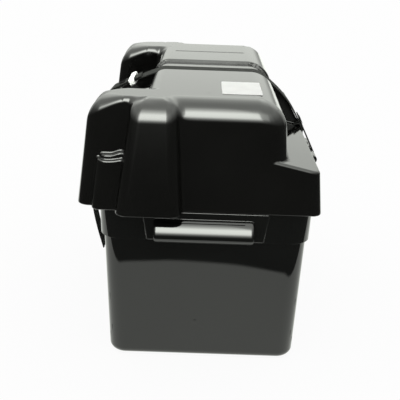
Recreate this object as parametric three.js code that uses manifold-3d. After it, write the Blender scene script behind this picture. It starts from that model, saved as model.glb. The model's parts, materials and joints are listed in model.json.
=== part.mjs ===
// Strapped battery box: a moulded tray, a lift-off lid and a webbing strap with a side-release buckle.
// Millimetres, +Z up, X across the box, Y along it. The tray's middle is X = 0, Y = 0 until the last step.
import * as THREE from 'three';
import { mergeVertices } from 'three/addons/utils/BufferGeometryUtils.js';
import Module from 'manifold-3d';

const wasm = await Module();
wasm.setup();

// Clearances and overruns shared by all pieces
const gap = 0.3;            // between pieces that touch
const overrun = 4;          // how far a cutting tool passes the face that it cuts
const weld = 1e-4;          // points closer than this are one point
const leastCorner = 0.5;
const cornerSteps = 4;      // facets in a plan corner
const filletSteps = 5;      // facets in a fillet seen from the side
const barSides = 12;
const gripSides = 20;
const guideSides = 16;

// Tray
const trayHalfWidth = 94;
const trayHalfLength = 166.6;
const trayHeight = 180;
const trayDraft = 0.032;
const trayCorner = 17;
const trayFoot = 8;
const trayWall = 3;
const trayFloor = 3.5;
const rimProud = 3;
const rimHalfWidth = trayHalfWidth + trayDraft * trayHeight + rimProud;
const rimHalfLength = trayHalfLength + trayDraft * trayHeight + rimProud;
const rimBandHeight = 52;
const rimFrom = trayHeight - rimBandHeight;
const rimChamfer = 4;
const rimInner = 2.2;
const guideRib = 2.5;
const guideRibReach = 4;
const guideRibFromEnd = 104.6;
const guideRibY = trayHalfLength - guideRibFromEnd;
const guideRibPitch = 9;
const guideRibDrop = 60;
const guideRibTop = trayHeight - guideRibDrop;

// Hooded grip on each end of the tray
const hoodInset = 34;
const hoodHalfWidth = trayHalfWidth - hoodInset;
const hoodDrop = 19.5;
const hoodHigh = trayHeight - hoodDrop;
const hoodDepth = 24;
const hoodLow = hoodHigh - hoodDepth;
const hoodReach = 8.5;
const hoodDraft = 0.16;
const gripInset = 12.5;
const gripHalfWidth = hoodHalfWidth - gripInset;
const gripCentreX = -1.5;
const gripRadius = 12;
const gripReach = 14.5;
const gripDrop = 14;
const gripCentreZ = hoodHigh - gripDrop;
const pocketInset = 6.5;
const pocketHalfWidth = gripHalfWidth - pocketInset;
const pocketDepth = 7;
const pocketDrop = 7.5;
const pocketHigh = hoodHigh - pocketDrop;

// Strap lug on each long side of the tray
const lugHalfLength = 36.5;
const lugArm = 7;
const lugBarRadius = 3.5;
const lugDrop = 5.5;
const lugBarZ = trayHeight - lugDrop;
const lugRightReach = 14.24;
const lugBarRight = rimHalfWidth + lugRightReach;
const lugLeftReach = 24.74;
const lugBarLeft = -rimHalfWidth - lugLeftReach;
const lugArmDepth = 14.5;
const lugArmLow = lugBarZ - lugArmDepth;

// Lid
const lidWall = 2.7;
const lidHeight = 105;
const lidOverlap = 17;
const lidBottom = trayHeight - lidOverlap;
const lidTop = lidBottom + lidHeight;
const lidEndReach = 4.24;
const lidEnd = rimHalfLength + lidEndReach;
const lidEndDraft = 0.067;
const lidEndRound = 20;
const lidRightReach = 5.74;
const lidRight = rimHalfWidth + lidRightReach;
const lidSideDraft = 0.096;
const lidLeftReach = 10.24;
const lidLeft = -rimHalfWidth - lidLeftReach;
const lidCorner = 15;
const shelfHeight = 43;
const shelfOuterZ = lidBottom + shelfHeight;
const shelfSlope = 0.22;
const shelfEdgeRound = 4;
const middleRightInset = 23.76;
const middleRight = rimHalfWidth - middleRightInset;
const middleRightDraft = 0.09;
const middleRightRound = 26;
const middleLeftInset = 32.26;
const middleLeft = -rimHalfWidth + middleLeftInset;
const middleLeftDraft = 0.09;
const middleLeftRound = 14;
const middleCorner = 18;
const grooveHalfWidth = 26;
const grooveDepth = 3;
const lidSeat = 8;          // reach of the ribs that sit on the tray's rim
const lidSeatRib = 2.5;
const sideRibShare = [-0.7, -0.4, 0.4, 0.7];
const endRibShare = [-0.1, 0.3, 0.7];
const ventFromEnd = 83.9;
const ventY = lidEnd - ventFromEnd;
const ventHalfLength = 40.5;
const ventWidth = 1.6;

// Cable block on each left corner of the lid
const blockReach = 20.24;
const blockLeft = -rimHalfWidth - blockReach;
const blockLeftDraft = 0.12;
const blockLeftRound = 37;
const blockEndInset = 5.76;
const blockFar = rimHalfLength - blockEndInset;
const blockLength = 51.1;
const blockNear = blockFar - blockLength;
const blockEndDraft = 0.04;
const blockEndRound = 8;
const blockCorner = 12;

// Cable pillar on each end of the lid, and the low one beside it
const pillarInset = 18.16;
const pillarLeft = -rimHalfWidth + pillarInset;
const pillarLeftDraft = 0.132;
const pillarWidth = 62;
const pillarRight = pillarLeft + pillarWidth;
const pillarRightDraft = 0.054;
const pillarEndReach = 21.24;
const pillarReach = rimHalfLength + pillarEndReach;
const pillarDraft = 0.143;
const pillarRound = 20;
const pillarSideRound = 9;
const pillarCorner = 12;
const lowPillarSideReach = 5.24;
const lowPillarLeft = -rimHalfWidth - lowPillarSideReach;
const lowPillarDraft = 0.115;
const lowPillarEndReach = 5.04;
const lowPillarReach = rimHalfLength + lowPillarEndReach;
const lowPillarRise = 9;
const lowPillarTop = shelfOuterZ + lowPillarRise;
const lowPillarRound = 6;
const lowPillarCorner = 8;

// Strap guide on the lid's left side
const guideInset = 12;
const guideX = lidLeft + guideInset;
const guideRise = 29;
const guideZ = shelfOuterZ + guideRise;
const guideHeadRadius = 5;
const guideHalfLength = 19;
const guideWall = 7;

// Webbing
const webWidth = 25;
const web = 1.5;
const layer = web + gap;
const webFold = 12;         // how far a sewn end runs back over the webbing
const webStub = 0.6;        // straight bit where the webbing is parted on the plug's bar
const anchorParting = 140;  // headings of the webbing there, in degrees
const tailParting = 220;
const tackWidth = 18;
const tackLength = 7;
const tackThickness = 0.5;

// Buckle, measured along the strap from the left lug's bar
const buckleHalfWidth = 17;
const buckleInner = 0.9;
const buckleOuter = 8.5;
const buckleBarRadius = 2;
const buckleBarX = -3.6;
const plugCheekFrom = 16.3;
const plugLowBarAt = 18.2;
const plugLowBarRadius = 1.5;
const plugLowBarX = -2.2;
const plugBarAt = 24.5;
const plugBodyFrom = 29;
const plugBodyTo = 33.7;
const socketLength = 15;
const socketBarRise = 5.6;
const socketCheekRise = 3;
const cheekWidth = 3.4;
const cheekHalfDepth = 3;
const socketSkin = 1.3;
const windowLength = 7;
const prongLength = 12.3;
const prongThickness = 3.2;
const prongWidth = 6;
const prongSpread = 10.5;
const tongueLength = 9;
const tongueWidth = 5;

// Bright keeper on the strap
const keeperFromGuide = 17;
const keeperX = guideX + keeperFromGuide;
const keeperLength = 9.5;
const keeperHalfWidth = 22;
const keeperBar = 2.4;
const keeperEnd = 4;

// Free tail of the adjustable webbing
const tailBendDrop = 24.5;
const tailBendZ = lugBarZ - tailBendDrop;
const tailBendRadius = 340;
const tailDrop = 112.5;
const tailLowZ = lugBarZ - tailDrop;
const tailEndLength = 14;

// Paper label on the lid
const labelFromRight = 48.8;
const labelX = middleRight - labelFromRight;
const labelFromEnd = 65.6;
const labelY = labelFromEnd - lidEnd;
const labelWidth = 38;
const labelLength = 57;
const labelThickness = 0.3;

// Solids
function solidOf(geometry) {
  const bare = geometry.index ? geometry.clone() : geometry;
  bare.deleteAttribute('normal');
  bare.deleteAttribute('uv');
  const merged = mergeVertices(bare, weld);
  return new wasm.Manifold(new wasm.Mesh({
    numProp: 3,
    vertProperties: new Float32Array(merged.attributes.position.array),
    triVerts: new Uint32Array(merged.index.array),
  }));
}

function geometryOf(solid) {
  const mesh = solid.getMesh();
  const geometry = new THREE.BufferGeometry();
  geometry.setAttribute('position', new THREE.BufferAttribute(mesh.vertProperties, mesh.numProp));
  geometry.setIndex(new THREE.BufferAttribute(mesh.triVerts, 1));
  geometry.computeVertexNormals();
  return geometry;
}

function join(solids) {
  return solids.reduce((sum, solid) => sum.add(solid));
}

function box(x0, x1, y0, y1, z0, z1) {
  const geometry = new THREE.BoxGeometry(x1 - x0, y1 - y0, z1 - z0);
  geometry.translate((x0 + x1) / 2, (y0 + y1) / 2, (z0 + z1) / 2);
  return solidOf(geometry);
}

// A round bar along Y
function barAlongY(x, z, radius, y0, y1, sides = barSides) {
  const geometry = new THREE.CylinderGeometry(radius, radius, y1 - y0, sides);
  geometry.translate(0, (y0 + y1) / 2, 0);
  geometry.translate(x, 0, z);
  return solidOf(geometry);
}

// A shape drawn in X and Z, given its width along Y
function slabFromProfile(points, y0, y1) {
  const shape = new THREE.Shape(points.map(([x, z]) => new THREE.Vector2(x, z)));
  const geometry = new THREE.ExtrudeGeometry(shape, { depth: y1 - y0, bevelEnabled: false, steps: 1 });
  geometry.rotateX(Math.PI / 2);
  geometry.translate(0, y1, 0);
  return solidOf(geometry);
}

function mirroredInY(solid) {
  return solid.add(solid.mirror([0, 1, 0]));
}

// Points of a rectangle with round corners, counter-clockwise
function roundedRectangle(x0, x1, y0, y1, radius) {
  const r = Math.max(leastCorner, Math.min(radius, (x1 - x0) / 2 - weld, (y1 - y0) / 2 - weld));
  const centres = [[x1 - r, y0 + r, -0.5], [x1 - r, y1 - r, 0], [x0 + r, y1 - r, 0.5], [x0 + r, y0 + r, 1]];
  return centres.flatMap(([cx, cy, quarter]) => Array.from({ length: cornerSteps + 1 }, (_, i) => {
    const angle = Math.PI * (quarter + i / cornerSteps / 2);
    return [cx + r * Math.cos(angle), cy + r * Math.sin(angle)];
  }));
}

// How far a quarter-round edge has drawn in at height z
function roundInset(z, edge, radius) {
  const h = Math.max(0, z - (edge - radius));
  return radius - Math.sqrt(Math.max(0, radius * radius - h * h));
}

// Centre of the arc that joins a leaning side to the top, as inset and height
function filletCentre({ draft = 0, round = 0 }, bottom, top) {
  return { inset: draft * (top - round - bottom) + round * Math.hypot(1, draft), z: top - round };
}

// How far a leaning side with a round top edge has drawn in at height z
function sideInset(side, z, bottom, top) {
  const { draft = 0, round = 0 } = side;
  const centre = filletCentre(side, bottom, top);
  if (z <= centre.z + round * draft / Math.hypot(1, draft)) return draft * (z - bottom);
  return centre.inset - Math.sqrt(Math.max(0, round * round - (z - centre.z) ** 2));
}

// A block whose four sides lean in and whose top and bottom edges are round.
// Each side is { at, draft, round }, with its place at the bottom.
function draftedBlock({ left, right, front, back, bottom, top, corner, foot = 0 }) {
  const sides = [left, right, front, back];
  const biggest = Math.max(...sides.map((side) => side.round ?? 0));
  const heights = [bottom];
  for (let i = 1; i <= filletSteps && foot > 0; i++) {
    heights.push(bottom + foot * (1 - Math.cos(Math.PI * i / filletSteps / 2)));
  }
  for (let i = 0; i <= filletSteps && biggest > 0; i++) {
    heights.push(top - biggest + biggest * Math.sin(Math.PI * i / filletSteps / 2));
  }
  if (biggest === 0) heights.push(top);
  const inset = (side, z) => sideInset(side, z, bottom, top) + roundInset(bottom + top - z, top, foot);
  const rings = heights.map((z) => roundedRectangle(
    left.at + inset(left, z), right.at - inset(right, z),
    front.at + inset(front, z), back.at - inset(back, z),
    corner - roundInset(bottom + top - z, top, foot) / 2,
  ).map(([x, y]) => [x, y, z]));
  return solidOf(loft(rings));
}

// Joins rings of equal length into one closed skin
function loft(rings) {
  const count = rings[0].length;
  const positions = rings.flat(2);
  const index = [];
  for (let k = 0; k + 1 < rings.length; k++) {
    for (let i = 0; i < count; i++) {
      const a = k * count + i;
      const b = k * count + (i + 1) % count;
      index.push(a, b, b + count, a, b + count, a + count);
    }
  }
  const last = (rings.length - 1) * count;
  for (let i = 1; i + 1 < count; i++) {
    index.push(0, i + 1, i, last, last + i, last + i + 1);
  }
  const geometry = new THREE.BufferGeometry();
  geometry.setAttribute('position', new THREE.BufferAttribute(new Float32Array(positions), 3));
  geometry.setIndex(index);
  return geometry;
}

// The same block with every wall moved inward by t, open downward
function hollowOf(block, t) {
  const within = (side, way) => ({
    at: side.at + way * t,
    draft: side.draft ?? 0,
    round: Math.max(1, (side.round ?? 0) - t),
  });
  return draftedBlock({
    left: within(block.left, 1),
    right: within(block.right, -1),
    front: within(block.front, 1),
    back: within(block.back, -1),
    bottom: block.bottom,
    top: block.top - t,
    corner: Math.max(2, block.corner - t),
  });
}

// Tray
const rimOuterX = (z) => trayHalfWidth + trayDraft * z + rimProud;
const rimOuterY = (z) => trayHalfLength + trayDraft * z + rimProud;

function traySides(grow, at) {
  return {
    left: { at: -(trayHalfWidth + grow + trayDraft * at), draft: -trayDraft },
    right: { at: trayHalfWidth + grow + trayDraft * at, draft: -trayDraft },
    front: { at: -(trayHalfLength + grow + trayDraft * at), draft: -trayDraft },
    back: { at: trayHalfLength + grow + trayDraft * at, draft: -trayDraft },
  };
}

function rimBand() {
  const ring = (z, grow) => roundedRectangle(
    -trayHalfWidth - trayDraft * z - grow, trayHalfWidth + trayDraft * z + grow,
    -trayHalfLength - trayDraft * z - grow, trayHalfLength + trayDraft * z + grow,
    trayCorner + grow,
  ).map(([x, y]) => [x, y, z]);
  return solidOf(loft([ring(rimFrom, 0), ring(rimFrom + rimChamfer, rimProud), ring(trayHeight, rimProud)]));
}

function gripHood() {
  const face = rimOuterY(gripCentreZ);
  const ring = (z) => {
    const half = hoodHalfWidth - hoodDraft * (hoodHigh - z);
    return [[-half, -face - hoodReach], [half, -face - hoodReach], [half, -face + rimProud],
      [-half, -face + rimProud]].map(([x, y]) => [x, y, z]);
  };
  const hood = solidOf(loft([ring(hoodLow), ring(hoodHigh)]));
  const grip = new THREE.CylinderGeometry(gripRadius, gripRadius, 2 * gripHalfWidth, gripSides);
  grip.rotateZ(Math.PI / 2);
  grip.translate(gripCentreX, -face - gripReach + gripRadius, gripCentreZ);
  return hood.add(solidOf(grip));
}

function gripPocket() {
  const face = rimOuterY(gripCentreZ);
  return box(gripCentreX - pocketHalfWidth, gripCentreX + pocketHalfWidth,
    -face - pocketDepth, -face, hoodLow - overrun, pocketHigh);
}

// Two arms and a round bar, on the side that sign names
function strapLug(sign, barX) {
  const root = (trayHalfWidth + trayDraft * lugBarZ) * sign;
  const arm = (y0, y1) => slabFromProfile([
    [root, lugArmLow], [barX, lugBarZ - lugBarRadius], [barX, lugBarZ + lugBarRadius],
    [root, lugBarZ + lugBarRadius],
  ], y0, y1);
  const arms = [arm(-lugHalfLength, -lugHalfLength + lugArm), arm(lugHalfLength - lugArm, lugHalfLength)];
  return join([...arms, barAlongY(barX, lugBarZ, lugBarRadius, -lugHalfLength, lugHalfLength)]);
}

function guideRibs() {
  const reachX = trayHalfWidth + trayDraft * guideRibTop;
  const places = [-1, 1].flatMap((side) => [-1, 1].flatMap((end) => [-0.5, 0.5].map((half) => ({
    side, y: end * guideRibY + half * guideRibPitch,
  }))));
  return join(places.map(({ side, y }) => {
    const outer = side * reachX;
    const inner = side * (trayHalfWidth - trayWall - guideRibReach);
    return box(Math.min(outer, inner), Math.max(outer, inner), y - guideRib / 2, y + guideRib / 2,
      trayFloor / 2, guideRibTop);
  }));
}

function makeTray() {
  const outside = draftedBlock({
    ...traySides(0, 0), bottom: 0, top: trayHeight, corner: trayCorner, foot: trayFoot,
  });
  const hollow = draftedBlock({
    ...traySides(-trayWall, trayFloor), bottom: trayFloor, top: trayHeight + overrun,
    corner: trayCorner - trayWall, foot: trayFoot - trayWall,
  });
  const rimHollow = draftedBlock({
    ...traySides(rimProud - rimInner - trayWall, rimFrom + rimChamfer),
    bottom: rimFrom + rimChamfer, top: trayHeight + overrun, corner: trayCorner - trayWall,
  });
  return join([outside, rimBand(), mirroredInY(gripHood())])
    .subtract(mirroredInY(gripPocket()))
    .subtract(hollow)
    .subtract(rimHollow)
    .add(guideRibs().intersect(outside))
    .add(strapLug(1, lugBarRight))
    .add(strapLug(-1, lugBarLeft));
}

// Lid
const middleTopRight = middleRight - middleRightDraft * (lidTop - lidBottom);
const middleTopLeft = middleLeft + middleLeftDraft * (lidTop - lidBottom);
const endSide = { at: lidEnd, draft: lidEndDraft, round: lidEndRound };
const mirrorSide = (side) => ({ ...side, at: -side.at });
const shelfTop = shelfOuterZ + shelfSlope * (lidRight - middleTopRight);

const middleBlock = {
  left: { at: middleLeft, draft: middleLeftDraft, round: middleLeftRound },
  right: { at: middleRight, draft: middleRightDraft, round: middleRightRound },
  front: mirrorSide(endSide), back: endSide,
  bottom: lidBottom, top: lidTop, corner: middleCorner,
};

const rightSkirt = {
  left: { at: pillarLeft + pillarCorner },
  right: { at: lidRight, draft: lidSideDraft },
  front: mirrorSide({ at: lidEnd, draft: lidEndDraft }), back: { at: lidEnd, draft: lidEndDraft },
  bottom: lidBottom, top: shelfTop + overrun, corner: lidCorner,
};

const leftSkirt = {
  left: { at: lidLeft, draft: lidSideDraft },
  right: { at: 0 },
  front: { at: -blockFar, draft: blockEndDraft }, back: { at: blockFar, draft: blockEndDraft },
  bottom: lidBottom, top: shelfTop + overrun, corner: blockCorner,
};

const cornerBlock = {
  left: { at: blockLeft, draft: blockLeftDraft, round: blockLeftRound },
  right: { at: middleTopLeft + middleLeftRound },
  front: { at: -blockFar, draft: blockEndDraft, round: blockEndRound },
  back: { at: -blockNear, draft: blockEndDraft, round: blockEndRound },
  bottom: lidBottom, top: lidTop, corner: blockCorner,
};

const pillarBlock = {
  left: { at: pillarLeft, draft: pillarLeftDraft, round: pillarSideRound },
  right: { at: pillarRight, draft: pillarRightDraft, round: pillarSideRound },
  front: { at: -pillarReach, draft: pillarDraft, round: pillarRound },
  back: { at: -blockNear - blockEndRound },
  bottom: lidBottom, top: lidTop, corner: pillarCorner,
};

const lowPillarBlock = {
  left: { at: lowPillarLeft, draft: lowPillarDraft, round: lowPillarRound },
  right: { at: pillarLeft + pillarCorner },
  front: { at: -lowPillarReach, draft: pillarDraft / 2, round: lowPillarRound },
  back: { at: -blockNear - blockEndRound },
  bottom: lidBottom, top: lowPillarTop, corner: lowPillarCorner,
};

// The roof line that the sloping shelves follow on both sides
function shelfRoof(drop) {
  const rightEdge = lidRight - lidSideDraft * (shelfOuterZ - lidBottom) - drop;
  const leftEdge = lidLeft + lidSideDraft * (shelfOuterZ - lidBottom) + drop;
  const edgeZ = shelfOuterZ - drop;
  const r = shelfEdgeRound;
  const outline = [
    [leftEdge - overrun, lidBottom - overrun],
    [rightEdge + overrun, lidBottom - overrun],
    [rightEdge + overrun, edgeZ - r],
    [rightEdge, edgeZ - r],
    [rightEdge - r * (1 - Math.SQRT1_2), edgeZ - r * (1 - Math.SQRT1_2)],
    [rightEdge - r, edgeZ],
    [middleTopRight, edgeZ + shelfSlope * (rightEdge - r - middleTopRight)],
    [middleTopLeft, edgeZ + shelfSlope * (middleTopLeft - leftEdge - r)],
    [leftEdge + r, edgeZ],
    [leftEdge + r * (1 - Math.SQRT1_2), edgeZ - r * (1 - Math.SQRT1_2)],
    [leftEdge, edgeZ - r],
    [leftEdge - overrun, edgeZ - r],
  ];
  return slabFromProfile(outline, -lidEnd, lidEnd);
}

// The raised middle with its strap groove: shallower across the groove's width
function grooveBand(t) {
  const reach = grooveHalfWidth + t;
  return box(middleLeft - overrun, middleRight + overrun, -reach, reach,
    shelfTop + grooveDepth - t, lidTop + overrun);
}

function groovedMiddle(t) {
  const shape = t > 0 ? hollowOf(middleBlock, t) : draftedBlock(middleBlock);
  const sunk = hollowOf(middleBlock, t + grooveDepth);
  return shape.subtract(grooveBand(t)).add(sunk.intersect(grooveBand(t)));
}

function strapGuide() {
  const low = shelfOuterZ - lidWall / 2;
  const wall = box(guideX, guideX + guideWall, -guideHalfLength, guideHalfLength, low, guideZ);
  return wall.add(barAlongY(guideX, guideZ, guideHeadRadius, -guideHalfLength, guideHalfLength, guideSides));
}

function lidOutside() {
  const skirts = join([draftedBlock(rightSkirt), draftedBlock(leftSkirt)]).intersect(shelfRoof(0));
  const ends = join([cornerBlock, pillarBlock, lowPillarBlock].map(draftedBlock));
  return join([skirts, groovedMiddle(0), mirroredInY(ends)]);
}

function lidInside() {
  const skirts = join([hollowOf(rightSkirt, lidWall), hollowOf(leftSkirt, lidWall)])
    .intersect(shelfRoof(lidWall));
  const ends = join([cornerBlock, pillarBlock, lowPillarBlock].map((block) => hollowOf(block, lidWall)));
  const hollow = join([skirts, groovedMiddle(lidWall), mirroredInY(ends)]);
  const lowSlice = box(blockLeft, lidRight, -pillarReach, pillarReach, lidBottom, lidBottom + gap);
  const mouth = hollow.intersect(lowSlice);
  return hollow.add(mouth.translate([0, 0, -gap]));
}

// Ribs inside the walls whose lower ends sit on the tray's rim
function seatRibs() {
  const z0 = trayHeight + gap;
  const z1 = shelfOuterZ - lidWall / 2;
  const reachX = rimOuterX(trayHeight) - lidSeat;
  const reachY = rimOuterY(trayHeight) - lidSeat;
  const sideRibs = sideRibShare.flatMap((share) => {
    const y = share * trayHalfLength;
    return [
      box(reachX, lidRight, y - lidSeatRib / 2, y + lidSeatRib / 2, z0, z1),
      box(lidLeft, -reachX, y - lidSeatRib / 2, y + lidSeatRib / 2, z0, z1),
    ];
  });
  const endRibs = endRibShare.map((share) => {
    const x = share * trayHalfWidth;
    return mirroredInY(box(x - lidSeatRib / 2, x + lidSeatRib / 2, -lidEnd, -reachY, z0, z1));
  });
  return join([...sideRibs, ...endRibs]);
}

function lugNotches() {
  const half = lugHalfLength + lidWall;
  const high = lugBarZ + lugBarRadius + lidWall;
  const right = box(trayHalfWidth, lidRight + overrun, -half, half, lidBottom - overrun, high);
  const left = box(lidLeft - overrun, -trayHalfWidth, -half, half, lidBottom - overrun, high);
  return right.add(left);
}

function makeLid() {
  const outside = lidOutside();
  return outside
    .subtract(lidInside())
    .add(seatRibs().intersect(outside))
    .add(strapGuide())
    .subtract(lugNotches())
    .subtract(box(-ventHalfLength, ventHalfLength, ventY - ventWidth / 2, ventY + ventWidth / 2,
      lidTop - lidWall - overrun, lidTop + overrun));
}

// Webbing: a taut path in X and Z round circles, drawn as a ribbon.
// Each stop is { x, z, r, turn }, turn 1 to the left and -1 to the right; r = 0 is a plain point.
const circle = (x, z, r, turn) => ({ x, z, r, turn });
const point = (x, z) => ({ x, z, r: 0, turn: 1 });
const turnStep = Math.PI / 10;
const longStep = 14;

function tangentAngle(a, b) {
  const dx = b.x - a.x;
  const dz = b.z - a.z;
  const k = b.turn * b.r - a.turn * a.r;
  const length = Math.sqrt(Math.max(0, dx * dx + dz * dz - k * k));
  return Math.atan2(dz, dx) - Math.atan2(k, length);
}

function contact(stop, angle) {
  return [stop.x + stop.turn * stop.r * Math.sin(angle), stop.z - stop.turn * stop.r * Math.cos(angle)];
}

function tautPath(stops) {
  const angles = stops.slice(1).map((stop, i) => tangentAngle(stops[i], stop));
  const path = [];
  stops.forEach((stop, i) => {
    const from = angles[Math.max(0, i - 1)];
    const to = angles[Math.min(i, angles.length - 1)];
    let sweep = (to - from) * stop.turn;
    while (sweep < -weld) sweep += 2 * Math.PI;
    const steps = stop.r > 0 ? Math.ceil(Math.max(sweep / turnStep, sweep * stop.r / longStep, 1)) : 0;
    for (let s = 0; s <= steps; s++) {
      const angle = from + stop.turn * sweep * (steps ? s / steps : 0);
      path.push({ place: contact(stop, angle), angle });
    }
  });
  return path;
}

function ribbon(stops, width = webWidth, thickness = web) {
  const path = tautPath(stops);
  const offset = (side) => path.map(({ place: [x, z], angle }) => [
    x - side * Math.sin(angle) * thickness / 2, z + side * Math.cos(angle) * thickness / 2,
  ]);
  return slabFromProfile([...offset(-1), ...offset(1).reverse()], -width / 2, width / 2);
}

// Circles that the strap's middle line bends round
const half = web / 2 + gap;
const guideBend = (extra, turn) => circle(guideX, guideZ, guideHeadRadius + half + extra, turn);
const leftFillet = filletCentre(middleBlock.left, lidBottom, lidTop);
const rightFillet = filletCentre(middleBlock.right, lidBottom, lidTop);
const leftBend = circle(
  middleLeft + leftFillet.inset, leftFillet.z, middleLeftRound - grooveDepth + half, -1,
);
const rightBend = circle(
  middleRight - rightFillet.inset, rightFillet.z, middleRightRound - grooveDepth + half, -1,
);
const shelfEdgeX = lidRight - lidSideDraft * (shelfOuterZ - lidBottom) - shelfEdgeRound;
const shelfBend = (extra, turn) => circle(
  shelfEdgeX, shelfOuterZ - shelfEdgeRound, shelfEdgeRound + half + extra, turn,
);
const lugBend = (x) => circle(x, lugBarZ, lugBarRadius + half, 1);

// The buckle lies on the straight line from the left lug to the strap guide.
// A place on it is given as a distance towards the lid and a distance up the line.
const lineStart = point(lugBarLeft - lugBarRadius, lugBarZ);
const lineAngle = tangentAngle(lineStart, guideBend(0, -1));
const onLine = (inward, up) => [
  lineStart.x + Math.cos(lineAngle) * up + Math.sin(lineAngle) * inward,
  lineStart.z + Math.sin(lineAngle) * up - Math.cos(lineAngle) * inward,
];
const socketFrom = plugBodyTo + gap;
const socketTo = socketFrom + socketLength;
const socketBarAt = socketTo + socketBarRise;
const buckleBend = (up) => circle(...onLine(buckleBarX, up), buckleBarRadius + half, 1);

// A point on a straight run, back from its end and lifted off the webbing
function besideRun(from, to, back, lift) {
  const angle = tangentAngle(from, to);
  const [x, z] = contact(to, angle);
  return [
    x - back * Math.cos(angle) - lift * Math.sin(angle),
    z - back * Math.sin(angle) + lift * Math.cos(angle),
  ];
}

const slopeAngle = tangentAngle(guideBend(0, -1), leftBend);
const slopeEnd = contact(leftBend, slopeAngle);
const backToX = (x) => (slopeEnd[0] - x) / Math.cos(slopeAngle);
const onSlope = (x, lift) => besideRun(guideBend(0, -1), leftBend, backToX(x), lift);
const riseAngle = tangentAngle(rightBend, shelfBend(0, -1));

function makeStrap() {
  return ribbon([
    point(...onSlope(keeperX + keeperLength, layer)),
    guideBend(layer, 1),
    buckleBend(socketBarAt),
    guideBend(0, -1),
    leftBend,
    rightBend,
    shelfBend(0, -1),
    lugBend(lugBarRight),
    shelfBend(layer, 1),
    point(...besideRun(rightBend, shelfBend(0, -1), webFold, layer)),
  ]);
}

const anchorRun = [lugBend(lugBarLeft), buckleBend(plugBarAt)];
const anchorRunLength = Math.hypot(anchorRun[1].x - anchorRun[0].x, anchorRun[1].z - anchorRun[0].z);

// A point a little along (or back along) the webbing that heads the given way round a circle
function stubOn(stop, heading, way) {
  const angle = THREE.MathUtils.degToRad(heading);
  const [x, z] = contact(stop, angle);
  return point(x + way * webStub * Math.cos(angle), z + way * webStub * Math.sin(angle));
}

function makeAnchor() {
  return ribbon([
    point(...besideRun(...anchorRun, anchorRunLength - webFold, layer)),
    ...anchorRun,
    stubOn(anchorRun[1], anchorParting, 1),
  ]);
}

// The tail goes over the bar, down past the lug's loop, and hangs in a long curve
function makeTail() {
  const pastLoop = { ...anchorRun[0], r: anchorRun[0].r + layer + gap };
  const bend = circle(pastLoop.x - pastLoop.r + tailBendRadius, tailBendZ, tailBendRadius, 1);
  const low = Math.asin((tailBendZ - tailLowZ) / tailBendRadius);
  return ribbon([
    stubOn(anchorRun[1], tailParting, -1),
    anchorRun[1],
    pastLoop,
    bend,
    point(
      bend.x - bend.r * Math.cos(low) + tailEndLength * Math.sin(low),
      bend.z - bend.r * Math.sin(low) - tailEndLength * Math.cos(low),
    ),
  ]);
}

// Buckle halves, drawn with the strap's line along Z and the lid towards +X
const bothSides = (y0, y1, x0, x1, z0, z1) => mirroredInY(box(x0, x1, y0, y1, z0, z1));

function buckleCheeks(z0, z1) {
  return bothSides(buckleHalfWidth - cheekWidth, buckleHalfWidth,
    buckleBarX - cheekHalfDepth, buckleBarX + cheekHalfDepth, z0, z1);
}

function makeSocket() {
  const inside = buckleHalfWidth - socketSkin;
  const body = box(-buckleOuter, buckleInner, -buckleHalfWidth, buckleHalfWidth, socketFrom, socketTo);
  const hollow = box(-buckleOuter + socketSkin, buckleInner - socketSkin, -inside, inside,
    socketFrom - overrun, socketTo - socketSkin);
  const windowMiddle = (socketFrom + socketTo) / 2;
  const windows = bothSides(prongSpread, buckleHalfWidth + overrun,
    -buckleOuter + 2 * socketSkin, buckleInner - 2 * socketSkin,
    windowMiddle - windowLength / 2, windowMiddle + windowLength / 2);
  return body.subtract(hollow).subtract(windows)
    .add(buckleCheeks(socketTo - socketSkin, socketBarAt + socketCheekRise))
    .add(barAlongY(buckleBarX, socketBarAt, buckleBarRadius, -inside, inside));
}

function makePlug() {
  const inside = buckleHalfWidth - socketSkin;
  const body = box(-buckleOuter, buckleInner, -buckleHalfWidth, buckleHalfWidth, plugBodyFrom, plugBodyTo);
  const middleX = (buckleInner - buckleOuter) / 2;
  const x0 = middleX - prongThickness / 2;
  const x1 = middleX + prongThickness / 2;
  const root = plugBodyTo - socketSkin;
  const prongs = bothSides(prongSpread - prongWidth / 2, prongSpread + prongWidth / 2, x0, x1,
    root, plugBodyTo + prongLength);
  const tongue = box(x0, x1, -tongueWidth / 2, tongueWidth / 2, root, plugBodyTo + tongueLength);
  return join([
    body, prongs, tongue,
    buckleCheeks(plugCheekFrom, plugBodyFrom + socketSkin),
    barAlongY(buckleBarX, plugBarAt, buckleBarRadius, -inside, inside),
    barAlongY(plugLowBarX, plugLowBarAt, plugLowBarRadius, -inside, inside),
  ]);
}

// A flat steel loop round both layers, with the strap along X
function makeKeeper() {
  const innerHigh = web + gap / 2 + gap;
  const outerHigh = innerHigh + keeperBar;
  const long = keeperLength / 2;
  return box(-long, long, -keeperHalfWidth, keeperHalfWidth, -outerHigh, outerHigh)
    .subtract(box(-long - overrun, long + overrun, -keeperHalfWidth + keeperEnd, keeperHalfWidth - keeperEnd,
      -innerHigh, innerHigh));
}

// A patch of thread, with the strap along X, above the given height
function makeTack(low) {
  return box(-tackLength / 2, tackLength / 2, -tackWidth / 2, tackWidth / 2, low, low + tackThickness);
}

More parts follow.
